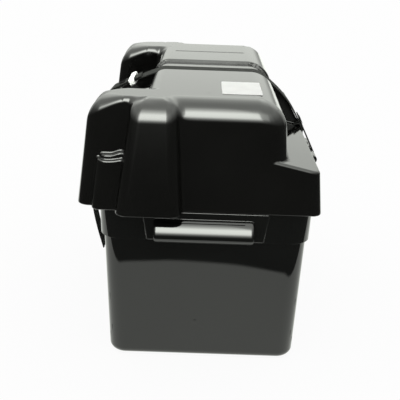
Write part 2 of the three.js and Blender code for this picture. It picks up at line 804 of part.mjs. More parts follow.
// Material
const plastic = new THREE.MeshStandardMaterial({ color: 0x1c1d1b, roughness: 0.25, metalness: 0 });
const trayPlastic = new THREE.MeshStandardMaterial({ color: 0x20211f, roughness: 0.25, metalness: 0 });
const bucklePlastic = new THREE.MeshStandardMaterial({ color: 0x141414, roughness: 0.4, metalness: 0 });
const plugPlastic = new THREE.MeshStandardMaterial({ color: 0x181818, roughness: 0.4, metalness: 0 });
const webbing = new THREE.MeshStandardMaterial({ color: 0x2a2b2a, roughness: 0.9, metalness: 0 });
const anchorWebbing = new THREE.MeshStandardMaterial({ color: 0x2b2c2b, roughness: 0.9, metalness: 0 });
const tailWebbing = new THREE.MeshStandardMaterial({ color: 0x2c2d2c, roughness: 0.9, metalness: 0 });
const thread = new THREE.MeshStandardMaterial({ color: 0x3a3b3a, roughness: 0.8, metalness: 0 });
const steel = new THREE.MeshStandardMaterial({ color: 0xe6e8e8, roughness: 0.2, metalness: 1 });
const paper = new THREE.MeshStandardMaterial({ color: 0xf2f3f0, roughness: 0.7, metalness: 0 });

const model = new THREE.Group();

function addMesh(name, solid, material, parent = model) {
  const mesh = new THREE.Mesh(geometryOf(solid), material);
  mesh.name = name;
  parent.add(mesh);
  return mesh;
}

// A frame whose X runs along the given direction in X and Z
function frameAt([x, z], angle) {
  const frame = new THREE.Group();
  frame.position.set(x, 0, z);
  frame.rotation.y = -angle;
  model.add(frame);
  return frame;
}

addMesh('base_tray', makeTray(), trayPlastic);
addMesh('lid_cover', makeLid(), plastic);
addMesh('strap_webbing', makeStrap(), webbing);
addMesh('strap_anchor', makeAnchor(), anchorWebbing);
addMesh('strap_tail', makeTail(), tailWebbing);

const buckleFrame = frameAt([lineStart.x, lineStart.z], lineAngle - Math.PI / 2);
addMesh('buckle_socket', makeSocket(), bucklePlastic, buckleFrame);
addMesh('buckle_plug', makePlug(), plugPlastic, buckleFrame);
addMesh('strap_keeper', makeKeeper(), steel, frameAt(onSlope(keeperX, layer / 2), slopeAngle));

const overLayers = web / 2 + layer + gap;
const leftTackX = keeperX - keeperLength / 2 - tackLength;
addMesh('left_stitching', makeTack(overLayers), thread, frameAt(onSlope(leftTackX, 0), slopeAngle));
const rightTackPlace = besideRun(rightBend, shelfBend(0, -1), webFold / 2, 0);
addMesh('right_stitching', makeTack(overLayers), thread, frameAt(rightTackPlace, riseAngle));
const anchorTackPlace = besideRun(...anchorRun, anchorRunLength - webFold / 2, 0);
const underWeb = -web / 2 - gap - tackThickness;
addMesh('anchor_stitching', makeTack(underWeb), thread, frameAt(anchorTackPlace, tangentAngle(...anchorRun)));

addMesh('top_label', box(labelX - labelWidth / 2, labelX + labelWidth / 2,
  labelY - labelLength / 2, labelY + labelLength / 2, lidTop + gap, lidTop + gap + labelThickness), paper);

// The origin is the middle of the footprint
const extent = new THREE.Box3().setFromObject(model);
model.position.set(-(extent.min.x + extent.max.x) / 2, -(extent.min.y + extent.max.y) / 2, -extent.min.z);

export default model;
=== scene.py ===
"""Strapped battery box: smooth mouldings, woven strap and studio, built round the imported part."""
import json
import math

import bpy
import numpy as np
from mathutils import Matrix, Vector


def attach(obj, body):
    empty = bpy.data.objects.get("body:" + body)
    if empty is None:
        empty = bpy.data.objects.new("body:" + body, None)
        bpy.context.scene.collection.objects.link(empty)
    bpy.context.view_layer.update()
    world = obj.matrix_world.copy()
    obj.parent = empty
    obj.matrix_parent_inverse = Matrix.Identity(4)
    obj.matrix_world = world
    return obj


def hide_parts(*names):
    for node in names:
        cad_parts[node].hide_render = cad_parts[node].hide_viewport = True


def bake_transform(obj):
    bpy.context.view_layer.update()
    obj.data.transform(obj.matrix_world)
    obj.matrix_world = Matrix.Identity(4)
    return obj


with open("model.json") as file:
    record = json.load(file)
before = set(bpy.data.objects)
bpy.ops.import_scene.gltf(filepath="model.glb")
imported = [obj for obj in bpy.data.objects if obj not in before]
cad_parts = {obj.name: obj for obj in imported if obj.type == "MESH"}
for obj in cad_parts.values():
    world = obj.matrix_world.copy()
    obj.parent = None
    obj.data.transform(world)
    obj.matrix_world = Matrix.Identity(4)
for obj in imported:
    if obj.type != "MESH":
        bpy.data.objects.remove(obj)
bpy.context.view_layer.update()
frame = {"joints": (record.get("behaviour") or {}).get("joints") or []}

# Sizes are in millimetres, in the box's own frame: X across, Y along, Z up, with the tray's middle at 0
MM = 0.001
LUG_RIGHT = 117.0
joint_place = {joint["name"]: joint["pos_m"] for joint in frame["joints"] if "pos_m" in joint}
SHIFT = joint_place["strap_swing"][0] / MM - LUG_RIGHT

# Rounds that edges and joins share
HAIR = 0.2
CRISP = 0.3
FINE = 0.5
THIN = 0.6
NEAT = 0.7
SMALL = 0.8
PLAIN = 1.0
EASED = 1.2
MILD = 1.4
SOFT = 1.5
FULL = 2.0
BROAD = 2.2

TRAY_HALF_WIDTH = 94.0
TRAY_HALF_LENGTH = 166.6
TRAY_TOP = 180.0
TRAY_DRAFT = 0.032
TRAY_CORNER = 17.0
TRAY_FOOT = 8.0
TRAY_WALL = 3.0
TRAY_FLOOR = 3.5
RIM_PROUD = 3.0
RIM_INNER = 0.8
RIM_FROM = 131.8
RIM_TO = 132.0
RIM_EDGE = 0.9
RIB_TOP = 120.0
RIB_Y = 62.0
RIB_PAIR = 9.0
RIB_REACH = 4.0

HOOD_HALF = 60.0
HOOD_LOW = 133.6
HOOD_HIGH = 162.3
HOOD_REACH = 3.5
HOOD_DRAFT = 0.16
GRIP_X = -1.5
GRIP_HALF = 47.5
GRIP_RADIUS = 19.0
GRIP_REACH = 14.5
GRIP_Z = 146.5
GRIP_CENTRE_Z = 138.3
GRIP_LOW = 133.6
GRIP_LIP = 7.0
GRIP_CORNER = 2.8
GRIP_ROOT = 6.0  # how deep its form goes on inside the tray's end
POCKET_HALF = 41.0
POCKET_DEPTH = 7.0
POCKET_HIGH = 153.0
POCKET_OPEN = 30.0
END_FACE = TRAY_HALF_LENGTH + TRAY_DRAFT * GRIP_Z + RIM_PROUD

LUG_LEFT = -127.5
LUG_Z = 174.5
LUG_HALF = 36.5
LUG_ARM = 7.0
LUG_BAR = 3.5
LUG_SHOULDER = (15.2, 5.2)  # half the bar's thin middle, and the radius of its thicker ends
LUG_LOW = 160.0

LID_WALL = 2.7
LID_SEAT = 8.0
SEAT_RIB = 2.5
SIDE_RIBS_AT = (0.4, 0.7)  # seat ribs, as shares of the tray's half length
END_RIBS_AT = (-0.1, 0.3, 0.7)  # seat ribs, as shares of its half width
LID_BOTTOM = 163.0
LID_TOP = 268.0
LID_END = (179.6, 0.067, 20.0)  # each side is its place at the bottom, its lean and its top round
MIDDLE_LEFT = (-70.5, 0.09, 14.0)
MIDDLE_RIGHT = (79.0, 0.09, 26.0)
MIDDLE_CORNER = 18.0
GROOVE_SPAN = (-26.0, 36.0)
GROOVE_DEPTH = 3.0
LID_RIGHT = 108.5
LID_LEFT = -113.0
SIDE_DRAFT = 0.096
LID_CORNER = 10.0
SHELF_Z = 206.0
SHELF_SLOPE = 0.22
SHELF_ROUND = 3.2
SHELF_BLEND = (4.0, 2.0, 10.0)  # how softly it meets the middle, from what depth and over what run
RIGHT_FROM = -60.0  # the shelves' hidden ends, inside the middle and the blocks
LEFT_TO = 20.0
LEFT_LENGTH = 150.0
LEFT_BLEND = 3.5
VENT_Y = 95.7
VENT_HALF = 40.5
VENT_WIDTH = 4.6
VENT_LOW = 255.0
NOTCH_ROOM = 3.0
NOTCH_EDGE = 0.4
OUTSIDE = 300.0

NO_SIDE = (-999.0, 0.0, 1.0)
BLOCK_LEFT = (-123.0, 0.12, 37.0)
BLOCK_RIGHT = (-47.0, 0.0, 14.0)
BLOCK_FAR = (169.6, 0.04, 5.5)
BLOCK_NEAR = (118.5, 0.04, 8.0)
INSIDE_BLOCK = BLOCK_NEAR[0] + BLOCK_NEAR[2]
PILLAR_LEFT = (-84.6, 0.132, 9.0)
PILLAR_RIGHT = (-22.6, 0.054, 9.0)
PILLAR_NEAR = (INSIDE_BLOCK, 0.0, 20.0)
PILLAR_END = (196.6, 0.143, 20.0)
PILLAR_BLEND = 3.0
ROUND_REACH = 2.5  # how far from a block its round counts for its neighbours
LOW_LEFT = (-108.0, 0.115, 1.6)
LOW_RIGHT = (-72.6, 0.0, 1.6)
LOW_NEAR = (INSIDE_BLOCK, 0.0, 1.6)
LOW_END = (180.4, 0.0715, 1.6)
LOW_BLEND = 1.6
LOW_TOP = 211.6
LOW_DIP = (-92.0, 11.0, 1.5)  # where its top edge sags, over what reach and how far
LOW_STEP_RISE = 3.0  # a narrower step on top of the low pillar
LOW_STEP_IN = 3.0
LOW_STEP_ROUND = 1.3
LOW_STEP_LIFT = (-90.0, 10.0, 2.6)  # where the step starts to climb, over what run and how far
PLAN_CORNER = 12.0
LOW_CORNER = 8.0

GUIDE_X = -101.0
GUIDE_Z = 235.0
GUIDE_HEAD = 5.0
GUIDE_HALF = 19.0
GUIDE_WALL = 7.0

LABEL_X = (11.2, 49.2)
LABEL_Y = (-142.5, -85.5)

WEB_WIDTH = 25.0
WEB = 1.5
GAP = 0.3
LAYER = WEB + GAP
WEB_FOLD = 12.0
RIB_PITCH = 2.5
RIB_SLANT = 0.9
RIB_DIP = 0.16
EDGE_TOOTH = 0.3
EDGE_ROUND = 0.25
EDGE_THIN = (0.93, 0.07, 0.22)  # from what share of the width it thins, over what share and how far
WEAVE_UV = 0.01  # UV units to a millimetre
BUCKLE_BAR_X = -3.6
BUCKLE_BAR = 2.0
BUCKLE_BAR_HALF = 15.7
BUCKLE_X = (-8.5, 0.9)
BUCKLE_HALF = 17.0
CHEEK_X = (-6.6, -0.6)
CHEEK_Y = (13.6, 17.0)
PLUG_BAR_AT = 24.5
PLUG_Z = (29.0, 33.7)
PLUG_CHEEKS_Z = (16.3, 31.0)
PLUG_LIP = (-2.2, 18.2, 1.5)  # X, Z and radius of the small bar past the webbing
PRONG_Z = (32.0, 46.0)
SOCKET_BAR_AT = 54.6
SOCKET_Z = (34.0, 49.0)
SOCKET_CHEEKS_Z = (46.0, 57.6)
SOCKET_WAIST = (41.5, 6.0, 0.9)  # its middle, half its run and how far it goes in
SOCKET_DISH = (-15.4, 42.0, 7.6, 1.5)  # X and Z of its ball, its radius and its stretch along Y
HOLLOW_EDGE = 0.35
KEEPER_X = -84.0
KEEPER_REACH = 4.75
KEEPER_LOOP = (3.0, 22.0, 3.8)  # the loop itself is slimmer than the space it takes
KEEPER_END = 4.0
TAIL_BEND_Z = 150.0
TAIL_BEND = 340.0
TAIL_LOW_Z = 62.0
TAIL_END = 14.0
TACK_LENGTH = 7.0
STRAP_DRIFT = 12.0
DRIFT_ENDS = ((-78.0, 30.0), (100.0, 40.0))  # where it starts and ends in X, each with the run it takes
STRAP_BOW = 4.2
STRAP_BOW_RADIUS = 130.0
STRAP_RIB_HALF = 3.2
STRAP_RIB_DRAFT = 0.03


# Distance fields
def soft_max(a, b, r):
    """The larger of two distances, with the edge between them rounded to radius r."""
    return np.minimum(np.maximum(a, b), -r) + np.hypot(np.maximum(a + r, 0), np.maximum(b + r, 0))


def soft_min(a, b, r):
    return -soft_max(-a, -b, r)


def smooth_step(value):
    t = np.clip(value, 0, 1)
    return t * t * (3 - 2 * t)


def beyond(distance, lean, z, bottom):
    """How far a point is outside a wall that leans in by lean from its place at the bottom."""
    return (distance + lean * (z - bottom)) / math.hypot(1, lean)


def slab(low, high, value):
    return np.maximum(low - value, value - high)


def rounded_box(x, y, z, x_span, y_span, z_span, r):
    return soft_max(soft_max(slab(*x_span, x), slab(*y_span, y), r), slab(*z_span, z), r)


def bar_along_y(x, y, z, centre_x, centre_z, radius, half, r):
    return soft_max(np.hypot(x - centre_x, z - centre_z) - radius, np.abs(y) - half, r)


def side_pair(low, high, value, z):
    """Plan distance between two leaning sides, and the round of the nearer one's top edge."""
    before = beyond(low[0] - value, low[1], z, LID_BOTTOM)
    after = beyond(value - high[0], high[1], z, LID_BOTTOM)
    return np.maximum(before, after), np.where(before > after, low[2], high[2])


def pillar_sides(x, y, z, left, right, near, far, corner, shared=False):
    """Plan distance of a leaning block, and the round that its top edge takes there.
    Where the rounds differ a lot, they are shared over the reach of the widest."""
    across, round_across = side_pair(left, right, x, z)
    along, round_along = side_pair(near, far, y, z)
    reach_across, reach_along = np.maximum(round_across, corner), np.maximum(round_along, corner)
    if shared:
        reach_across = reach_along = np.maximum(reach_across, reach_along)
    weight_across = np.maximum(across + reach_across, 0) ** 2
    weight_along = np.maximum(along + reach_along, 0) ** 2
    total = weight_across + weight_along + 1e-6
    radius = (round_across * weight_across + round_along * weight_along) / total
    return soft_max(across, along, corner), np.maximum(radius, 1)


def raised_middle(x, far, z):
    """The lid's middle with its cable blocks and pillars; the strap's groove is cut from it in lid_skin; far is
    along Y.
    """
    pieces = [
        pillar_sides(x, far, z, MIDDLE_LEFT, MIDDLE_RIGHT, NO_SIDE, LID_END, MIDDLE_CORNER),
        pillar_sides(x, far, z, BLOCK_LEFT, BLOCK_RIGHT, BLOCK_NEAR, BLOCK_FAR, PLAN_CORNER, shared=True),
        pillar_sides(x, far, z, PILLAR_LEFT, PILLAR_RIGHT, PILLAR_NEAR, PILLAR_END, PLAN_CORNER),
    ]
    plan = pieces[0][0]
    for distance, _ in pieces[1:]:
        plan = soft_min(plan, distance, PILLAR_BLEND)
    nearest = np.minimum.reduce([distance for distance, _ in pieces])
    weights = [np.exp(-np.minimum((distance - nearest) / ROUND_REACH, 40)) for distance, _ in pieces]
    radius = sum(w * r for w, (_, r) in zip(weights, pieces)) / sum(weights)
    return soft_max(plan, z - LID_TOP, radius)


def low_pillar(x, far, z):
    """The low pillar beside the tall one, with a sag in its top edge and a narrower step on it."""
    plan, low_round = pillar_sides(x, far, z, LOW_LEFT, LOW_RIGHT, LOW_NEAR, LOW_END, LOW_CORNER)
    middle, reach, sag = LOW_DIP
    low = soft_max(plan, z - LOW_TOP + sag * (1 - np.minimum(((x - middle) / reach) ** 2, 1)), low_round)
    start, run, climb = LOW_STEP_LIFT
    step_top = z - LOW_TOP - LOW_STEP_RISE - climb * smooth_step((x - start) / run)
    return soft_min(low, soft_max(plan + LOW_STEP_IN, step_top, LOW_STEP_ROUND), PLAIN)


def lid_skin(x, y, z):
    """Distance to the lid's outer skin, open downward."""
    far = np.abs(y)
    high = raised_middle(x, far, z)
    groove = np.maximum(slab(*GROOVE_SPAN, y), -(high + GROOVE_DEPTH))
    groove = np.maximum(groove, SHELF_TOP + GROOVE_DEPTH - z)
    high = soft_max(high, -groove, EASED)

    slope = math.hypot(1, SHELF_SLOPE)
    end = beyond(far - LID_END[0], LID_END[1], z, LID_BOTTOM)
    right_wall = beyond(x - LID_RIGHT, SIDE_DRAFT, z, LID_BOTTOM)
    right_roof = (z - SHELF_Z - SHELF_SLOPE * (SHELF_EDGE - x)) / slope
    right_plan = soft_max(np.maximum(right_wall, RIGHT_FROM - x), end, LID_CORNER)
    right = soft_max(right_plan, right_roof, SHELF_ROUND)
    softest, depth, run = SHELF_BLEND
    skin = soft_min(high, right, softest * smooth_step((-end - depth) / run) + 0.01)

    left_wall = beyond(LID_LEFT - x, SIDE_DRAFT, z, LID_BOTTOM)
    left_roof = (z - SHELF_Z - SHELF_SLOPE * (x - LEFT_EDGE)) / slope
    left = soft_max(np.maximum(left_wall, x - LEFT_TO), left_roof, SHELF_ROUND)
    skin = soft_min(skin, np.maximum(left, far - LEFT_LENGTH), LEFT_BLEND)
    return soft_min(skin, low_pillar(x, far, z), LOW_BLEND)


MIDDLE_TOP_RIGHT = MIDDLE_RIGHT[0] - MIDDLE_RIGHT[1] * (LID_TOP - LID_BOTTOM)
SHELF_TOP = SHELF_Z + SHELF_SLOPE * (LID_RIGHT - MIDDLE_TOP_RIGHT)
SHELF_EDGE = LID_RIGHT - SIDE_DRAFT * (SHELF_Z - LID_BOTTOM) - SHELF_ROUND
LEFT_EDGE = LID_LEFT + SIDE_DRAFT * (SHELF_Z - LID_BOTTOM) + SHELF_ROUND


def near_any(value, middles):
    """Distance to the nearest of some thin ribs."""
    return np.minimum.reduce([np.abs(value - middle) for middle in middles]) - SEAT_RIB / 2


def lid_field(x, y, z):
    skin = lid_skin(x, y, z)
    side, end = np.abs(x), np.abs(y)
    shell = soft_max(skin, -(skin + LID_WALL), THIN)
    wall = rounded_box(x, y, z, (GUIDE_X, GUIDE_X + GUIDE_WALL), (-GUIDE_HALF, GUIDE_HALF),
                       (SHELF_Z - LID_WALL / 2, GUIDE_Z), EASED)
    head = bar_along_y(x, y, z, GUIDE_X, GUIDE_Z, GUIDE_HEAD, GUIDE_HALF, EASED)
    shell = soft_min(shell, soft_min(wall, head, SOFT), FULL)

    rib = np.maximum(under_strap(x, z), -(skin + LID_WALL / 2))
    rib = soft_max(rib, end - STRAP_RIB_HALF - STRAP_RIB_DRAFT * (LID_TOP - z), SMALL)
    shell = soft_min(shell, rib, SOFT)
    rim_x = TRAY_HALF_WIDTH + TRAY_DRAFT * TRAY_TOP + RIM_PROUD - LID_SEAT
    rim_y = TRAY_HALF_LENGTH + TRAY_DRAFT * TRAY_TOP + RIM_PROUD - LID_SEAT
    side_ribs = np.maximum(rim_x - side, near_any(end, [f * TRAY_HALF_LENGTH for f in SIDE_RIBS_AT]))
    end_ribs = np.maximum(rim_y - end, near_any(x, [f * TRAY_HALF_WIDTH for f in END_RIBS_AT]))
    ribs = np.maximum(np.minimum(side_ribs, end_ribs), slab(TRAY_TOP + GAP, SHELF_Z, z))
    shell = soft_min(shell, np.maximum(ribs, skin + FINE), FINE)

    notch = soft_max(end - LUG_HALF - NOTCH_ROOM, z - LUG_Z - LUG_BAR - NOTCH_ROOM, FULL)
    notch = soft_max(slab(TRAY_HALF_WIDTH, OUTSIDE, side), notch, NOTCH_EDGE)
    shell = soft_max(shell, -notch, THIN)
    slit = soft_max(side - VENT_HALF, np.abs(y - VENT_Y) - VENT_WIDTH / 2, FINE)
    shell = soft_max(shell, -np.maximum(slit, VENT_LOW - z), HAIR)
    return soft_max(shell, LID_BOTTOM - z, RIM_EDGE)


def hooded_grip(x, end, z):
    """The hood over each end's grip, and the grip's roll; end is the distance along Y."""
    hood = beyond(np.abs(x) - HOOD_HALF, -HOOD_DRAFT, z, HOOD_HIGH)
    hood = soft_max(soft_max(hood, end - END_FACE - HOOD_REACH, PLAIN), slab(HOOD_LOW, HOOD_HIGH, z), SMALL)
    grip = np.hypot(end - END_FACE - GRIP_REACH + GRIP_RADIUS, z - GRIP_CENTRE_Z) - GRIP_RADIUS
    grip = soft_max(soft_max(grip, GRIP_LOW - z, GRIP_LIP), np.abs(x - GRIP_X) - GRIP_HALF, GRIP_CORNER)
    return np.maximum(soft_min(hood, grip, HAIR), END_FACE - GRIP_ROOT - end)


def strap_lug(out, y, z, bar_x):
    """Two arms that rise to a bar with thicker ends; out is the distance along X on the lug's side."""
    root = TRAY_HALF_WIDTH + TRAY_DRAFT * LUG_Z
    climb = (LUG_Z - LUG_BAR - LUG_LOW) / (bar_x - root)
    under = (LUG_LOW + climb * (out - root) - z) / math.hypot(1, climb)
    arm = soft_max(under, z - LUG_Z - LUG_BAR, PLAIN)
    arm = soft_max(np.maximum(out - bar_x, root - out), arm, PLAIN)
    arm = soft_max(arm, slab(LUG_HALF - LUG_ARM, LUG_HALF, np.abs(y)), PLAIN)
    bar = bar_along_y(out, y, z, bar_x, LUG_Z, LUG_BAR, LUG_HALF, SMALL)
    thin, thick = LUG_SHOULDER
    shoulder = np.hypot(out - bar_x, z - LUG_Z) - thick
    shoulder = soft_max(shoulder, slab(thin, LUG_HALF, np.abs(y)), SMALL)
    return soft_min(arm, soft_min(bar, shoulder, SMALL), PLAIN)


def tray_field(x, y, z):
    side, end = np.abs(x), np.abs(y)
    plan = soft_max(beyond(side - TRAY_HALF_WIDTH, -TRAY_DRAFT, z, 0),
                    beyond(end - TRAY_HALF_LENGTH, -TRAY_DRAFT, z, 0), TRAY_CORNER)
    step = smooth_step((z - RIM_FROM) / (RIM_TO - RIM_FROM))
    outside = soft_max(plan - RIM_PROUD * step, -z, TRAY_FOOT)
    outside = soft_min(outside, hooded_grip(x, end, z), SMALL)
    pocket = soft_max(np.abs(x - GRIP_X) - POCKET_HALF, slab(END_FACE, END_FACE + POCKET_DEPTH, end), FULL)
    pocket = soft_max(pocket, slab(HOOD_LOW - POCKET_OPEN, POCKET_HIGH, z), FULL)
    outside = soft_max(outside, -np.maximum(pocket, -(outside + POCKET_OPEN)), SMALL)

    hollow = soft_max(plan + TRAY_WALL - RIM_INNER * step, TRAY_FLOOR - z, TRAY_FOOT - TRAY_WALL)
    tray = soft_max(soft_max(outside, -hollow, THIN), z - TRAY_TOP, RIM_EDGE)
    rib_y = np.abs(np.abs(end - RIB_Y) - RIB_PAIR / 2) - SEAT_RIB / 2
    rib_x = TRAY_HALF_WIDTH - TRAY_WALL - RIB_REACH - side
    rib = soft_max(soft_max(rib_x, rib_y, SMALL), slab(TRAY_FLOOR / 2, RIB_TOP, z), SMALL)
    tray = soft_min(tray, np.maximum(rib, outside + SMALL), SMALL)
    for way, bar_x in ((1, LUG_RIGHT), (-1, -LUG_LEFT)):
        tray = soft_min(tray, strap_lug(x * way, y, z, bar_x), SMALL)
    return tray


# Route of the webbing: a taut line in X and Z round circles, each (x, z, radius, turn)
def heading(a, b):
    """Direction of the straight run from one circle to the next; turn is 1 for left and -1 for right."""
    dx, dz = b[0] - a[0], b[1] - a[1]
    k = b[3] * b[2] - a[3] * a[2]
    return math.atan2(dz, dx) - math.atan2(k, math.sqrt(max(0, dx * dx + dz * dz - k * k)))


def contact(stop, angle):
    x, z, radius, turn = stop
    return x + turn * radius * math.sin(angle), z - turn * radius * math.cos(angle)


def spot(place):
    return place[0], place[1], 0.0, 1


def taut_path(stops, step=0.6, arc_step=0.3):
    """Points and headings along the route, a step apart."""
    angles = [heading(a, b) for a, b in zip(stops, stops[1:])]
    places, turns = [], []
    for i, stop in enumerate(stops):
        start = angles[max(0, i - 1)]
        sweep = (angles[min(i, len(angles) - 1)] - start) * stop[3]
        while sweep < -1e-4:
            sweep += 2 * math.pi
        count = max(1, math.ceil(sweep * stop[2] / arc_step)) if stop[2] > 0 else 0
        for part in range(count + 1):
            angle = start + stop[3] * sweep * (part / count if count else 0)
            places.append(contact(stop, angle))
            turns.append(angle)
    places, turns = np.array(places), np.unwrap(np.array(turns))
    run = np.concatenate([[0], np.cumsum(np.hypot(*np.diff(places, axis=0).T))])
    at = np.linspace(0, run[-1], max(2, round(run[-1] / step)))
    return at, np.interp(at, run, places[:, 0]), np.interp(at, run, places[:, 1]), np.interp(at, run, turns)


def beside(a, b, back, lift):
    """A place on the straight run from a to b, back from its end and lifted off it."""
    angle = heading(a, b)
    x, z = contact(b, angle)
    cos, sin = math.cos(angle), math.sin(angle)
    return x - back * cos - lift * sin, z - back * sin + lift * cos


def top_bend(side, bottom, top, way):
    """Centre of the arc at the top of a leaning side; way is 1 for a left side."""
    at, lean, radius = side
    inset = lean * (top - radius - bottom) + radius * math.hypot(1, lean)
    return at + way * inset, top - radius, radius - GROOVE_DEPTH + HALF, -1


HALF = WEB / 2 + GAP
GUIDE_BEND = (GUIDE_X, GUIDE_Z, GUIDE_HEAD + HALF)
LEFT_BEND = top_bend(MIDDLE_LEFT, LID_BOTTOM, LID_TOP, 1)
RIGHT_BEND = top_bend(MIDDLE_RIGHT, LID_BOTTOM, LID_TOP, -1)
SHELF_BEND = (SHELF_EDGE, SHELF_Z - SHELF_ROUND, SHELF_ROUND + HALF)
RIGHT_LUG = (LUG_RIGHT, LUG_Z, LUG_BAR + HALF, 1)
LEFT_LUG = (LUG_LEFT, LUG_Z, LUG_BAR + HALF, 1)

LINE_START = (LUG_LEFT - LUG_BAR, LUG_Z)
LINE_ANGLE = heading(spot(LINE_START), (*GUIDE_BEND, -1))


def on_line(inward, up):
    return (LINE_START[0] + math.cos(LINE_ANGLE) * up + math.sin(LINE_ANGLE) * inward,
            LINE_START[1] + math.sin(LINE_ANGLE) * up - math.cos(LINE_ANGLE) * inward)


def buckle_bend(up):
    return (*on_line(BUCKLE_BAR_X, up), BUCKLE_BAR + HALF, 1)


def outer(bend, turn):
    """The same bend for a second layer of webbing."""
    return bend[0], bend[1], bend[2] + LAYER, turn


SLOPE = ((*GUIDE_BEND, -1), LEFT_BEND)
SLOPE_ANGLE = heading(*SLOPE)
SLOPE_END = contact(LEFT_BEND, SLOPE_ANGLE)

# On the right the strap bows out over a rib of the lid, on the way down from the middle to the shelf's edge
CHORD_ANGLE = heading(RIGHT_BEND, (*SHELF_BEND, -1))
CHORD = [contact(RIGHT_BEND, CHORD_ANGLE), contact((*SHELF_BEND, -1), CHORD_ANGLE)]
CHORD_MIDDLE = ((CHORD[0][0] + CHORD[1][0]) / 2, (CHORD[0][1] + CHORD[1][1]) / 2)
BOW_BEND = (*contact((*CHORD_MIDDLE, STRAP_BOW_RADIUS - STRAP_BOW, 1), CHORD_ANGLE), STRAP_BOW_RADIUS, -1)
RISE = (BOW_BEND, (*SHELF_BEND, -1))


def under_strap(x, z):
    """Distance to the space that the bowed strap covers, seen along Y."""
    run = (x - CHORD_MIDDLE[0]) * math.cos(CHORD_ANGLE) + (z - CHORD_MIDDLE[1]) * math.sin(CHORD_ANGLE)
    disc = np.hypot(x - BOW_BEND[0], z - BOW_BEND[1]) - STRAP_BOW_RADIUS + HALF
    return np.maximum(disc, np.abs(run) - math.dist(*CHORD) / 2)


def on_slope(x, lift):
    return beside(*SLOPE, (SLOPE_END[0] - x) / math.cos(SLOPE_ANGLE), lift)


# Surface of a distance field, as a mesh
def spans(*parts):
    """Grid lines from (start, step) pairs; the last pair holds only the end."""
    lines = []
    for (start, step), (stop, _) in zip(parts, parts[1:]):
        count = max(1, round((stop - start) / step))
        lines.extend(start + (stop - start) * i / count for i in range(count))
    lines.append(parts[-1][0])
    return np.array(lines)


def even(low, high, step):
    return np.linspace(low, high, round((high - low) / step) + 1)


def gradient(field, points, h=0.04):
    grad = np.empty_like(points)
    for axis in range(3):
        ahead, behind = points.copy(), points.copy()
        ahead[:, axis] += h
        behind[:, axis] -= h
        grad[:, axis] = (field(*ahead.T) - field(*behind.T)) / (2 * h)
    return grad


def nets(field, axes):
    """A point in every grid cell that the field's zero passes through, and the quads between these points."""
    across, up = np.meshgrid(axes[1], axes[2], indexing="ij")
    values = np.stack([field(np.full(across.shape, x), across, up) for x in axes[0]])
    inside = values < 0
    limit = np.array(values.shape) - 1
    cell_sum = np.zeros((*limit, 3))
    cell_count = np.zeros(limit)
    crossings = []
    for axis in range(3):
        low, high = [slice(None)] * 3, [slice(None)] * 3
        low[axis], high[axis] = slice(0, -1), slice(1, None)
        cross = inside[tuple(low)] != inside[tuple(high)]
        before, after = values[tuple(low)][cross], values[tuple(high)][cross]
        index = np.argwhere(cross)
        place = np.stack([axes[k][index[:, k]] for k in range(3)], 1)
        step = axes[axis][index[:, axis] + 1] - axes[axis][index[:, axis]]
        place[:, axis] += before / (before - after) * step
        others = [k for k in range(3) if k != axis]
        corners = []
        for back in ((0, 0), (1, 0), (1, 1), (0, 1)):
            cell = index.copy()
            cell[:, others] -= back
            corners.append(cell)
        corners = np.stack(corners)
        within = np.all((corners >= 0) & (corners < limit), axis=2)
        for cell, ok in zip(corners, within):
            at = tuple(cell[ok].T)
            np.add.at(cell_sum, at, place[ok])
            np.add.at(cell_count, at, 1)
        whole = within.all(axis=0)
        crossings.append((axis, corners[:, whole], before[whole] < 0))
    used = cell_count > 0
    number = np.full(cell_count.shape, -1)
    number[used] = np.arange(used.sum())
    quads = []
    for axis, corners, starts_inside in crossings:
        quad = np.stack([number[tuple(cell.T)] for cell in corners], 1)
        turned = starts_inside if axis != 1 else ~starts_inside
        quad[~turned] = quad[~turned][:, ::-1]
        quads.append(quad)
    return cell_sum[used] / cell_count[used][:, None], np.concatenate(quads)


def settle(field, points, rounds=4, flattest=0.05):
    """Moves the points onto the field's zero, at most a millimetre in each round."""
    for _ in range(rounds):
        grad = gradient(field, points)
        size = np.maximum((grad ** 2).sum(1), flattest)
        move = -grad * (field(*points.T) / size)[:, None]
        length = np.linalg.norm(move, axis=1, keepdims=True)
        points += move * np.minimum(1, 1.0 / np.maximum(length, 1e-9))


def surface(name, field, xs, ys, zs, stand=None, smooth=0.5):
    """Surface nets on an uneven grid, with each quad split along the diagonal nearer to the field's zero.
    Normals are taken over the distance smooth, so that they change evenly across a tight edge."""
    points, quads = nets(field, (xs, ys, zs))
    settle(field, points)
    corner = points[quads]
    off = [np.abs(field(*((corner[:, k] + corner[:, k + 2]) / 2).T)) for k in (0, 1)]
    even_split = (off[0] <= off[1])[:, None]
    faces = np.concatenate([np.where(even_split, quads[:, [0, 1, 2]], quads[:, [0, 1, 3]]),
                            np.where(even_split, quads[:, [0, 2, 3]], quads[:, [1, 2, 3]])])
    normals = gradient(field, points, smooth)
    normals /= np.maximum(np.linalg.norm(normals, axis=1, keepdims=True), 1e-9)
    if stand is not None:
        points = stand(points)
        normals = stand(normals) - stand(np.zeros(3))
    return mesh_object(name, points, faces, normals)


def linked(name, mesh):
    piece = bpy.data.objects.new(name, mesh)
    bpy.context.scene.collection.objects.link(piece)
    return piece


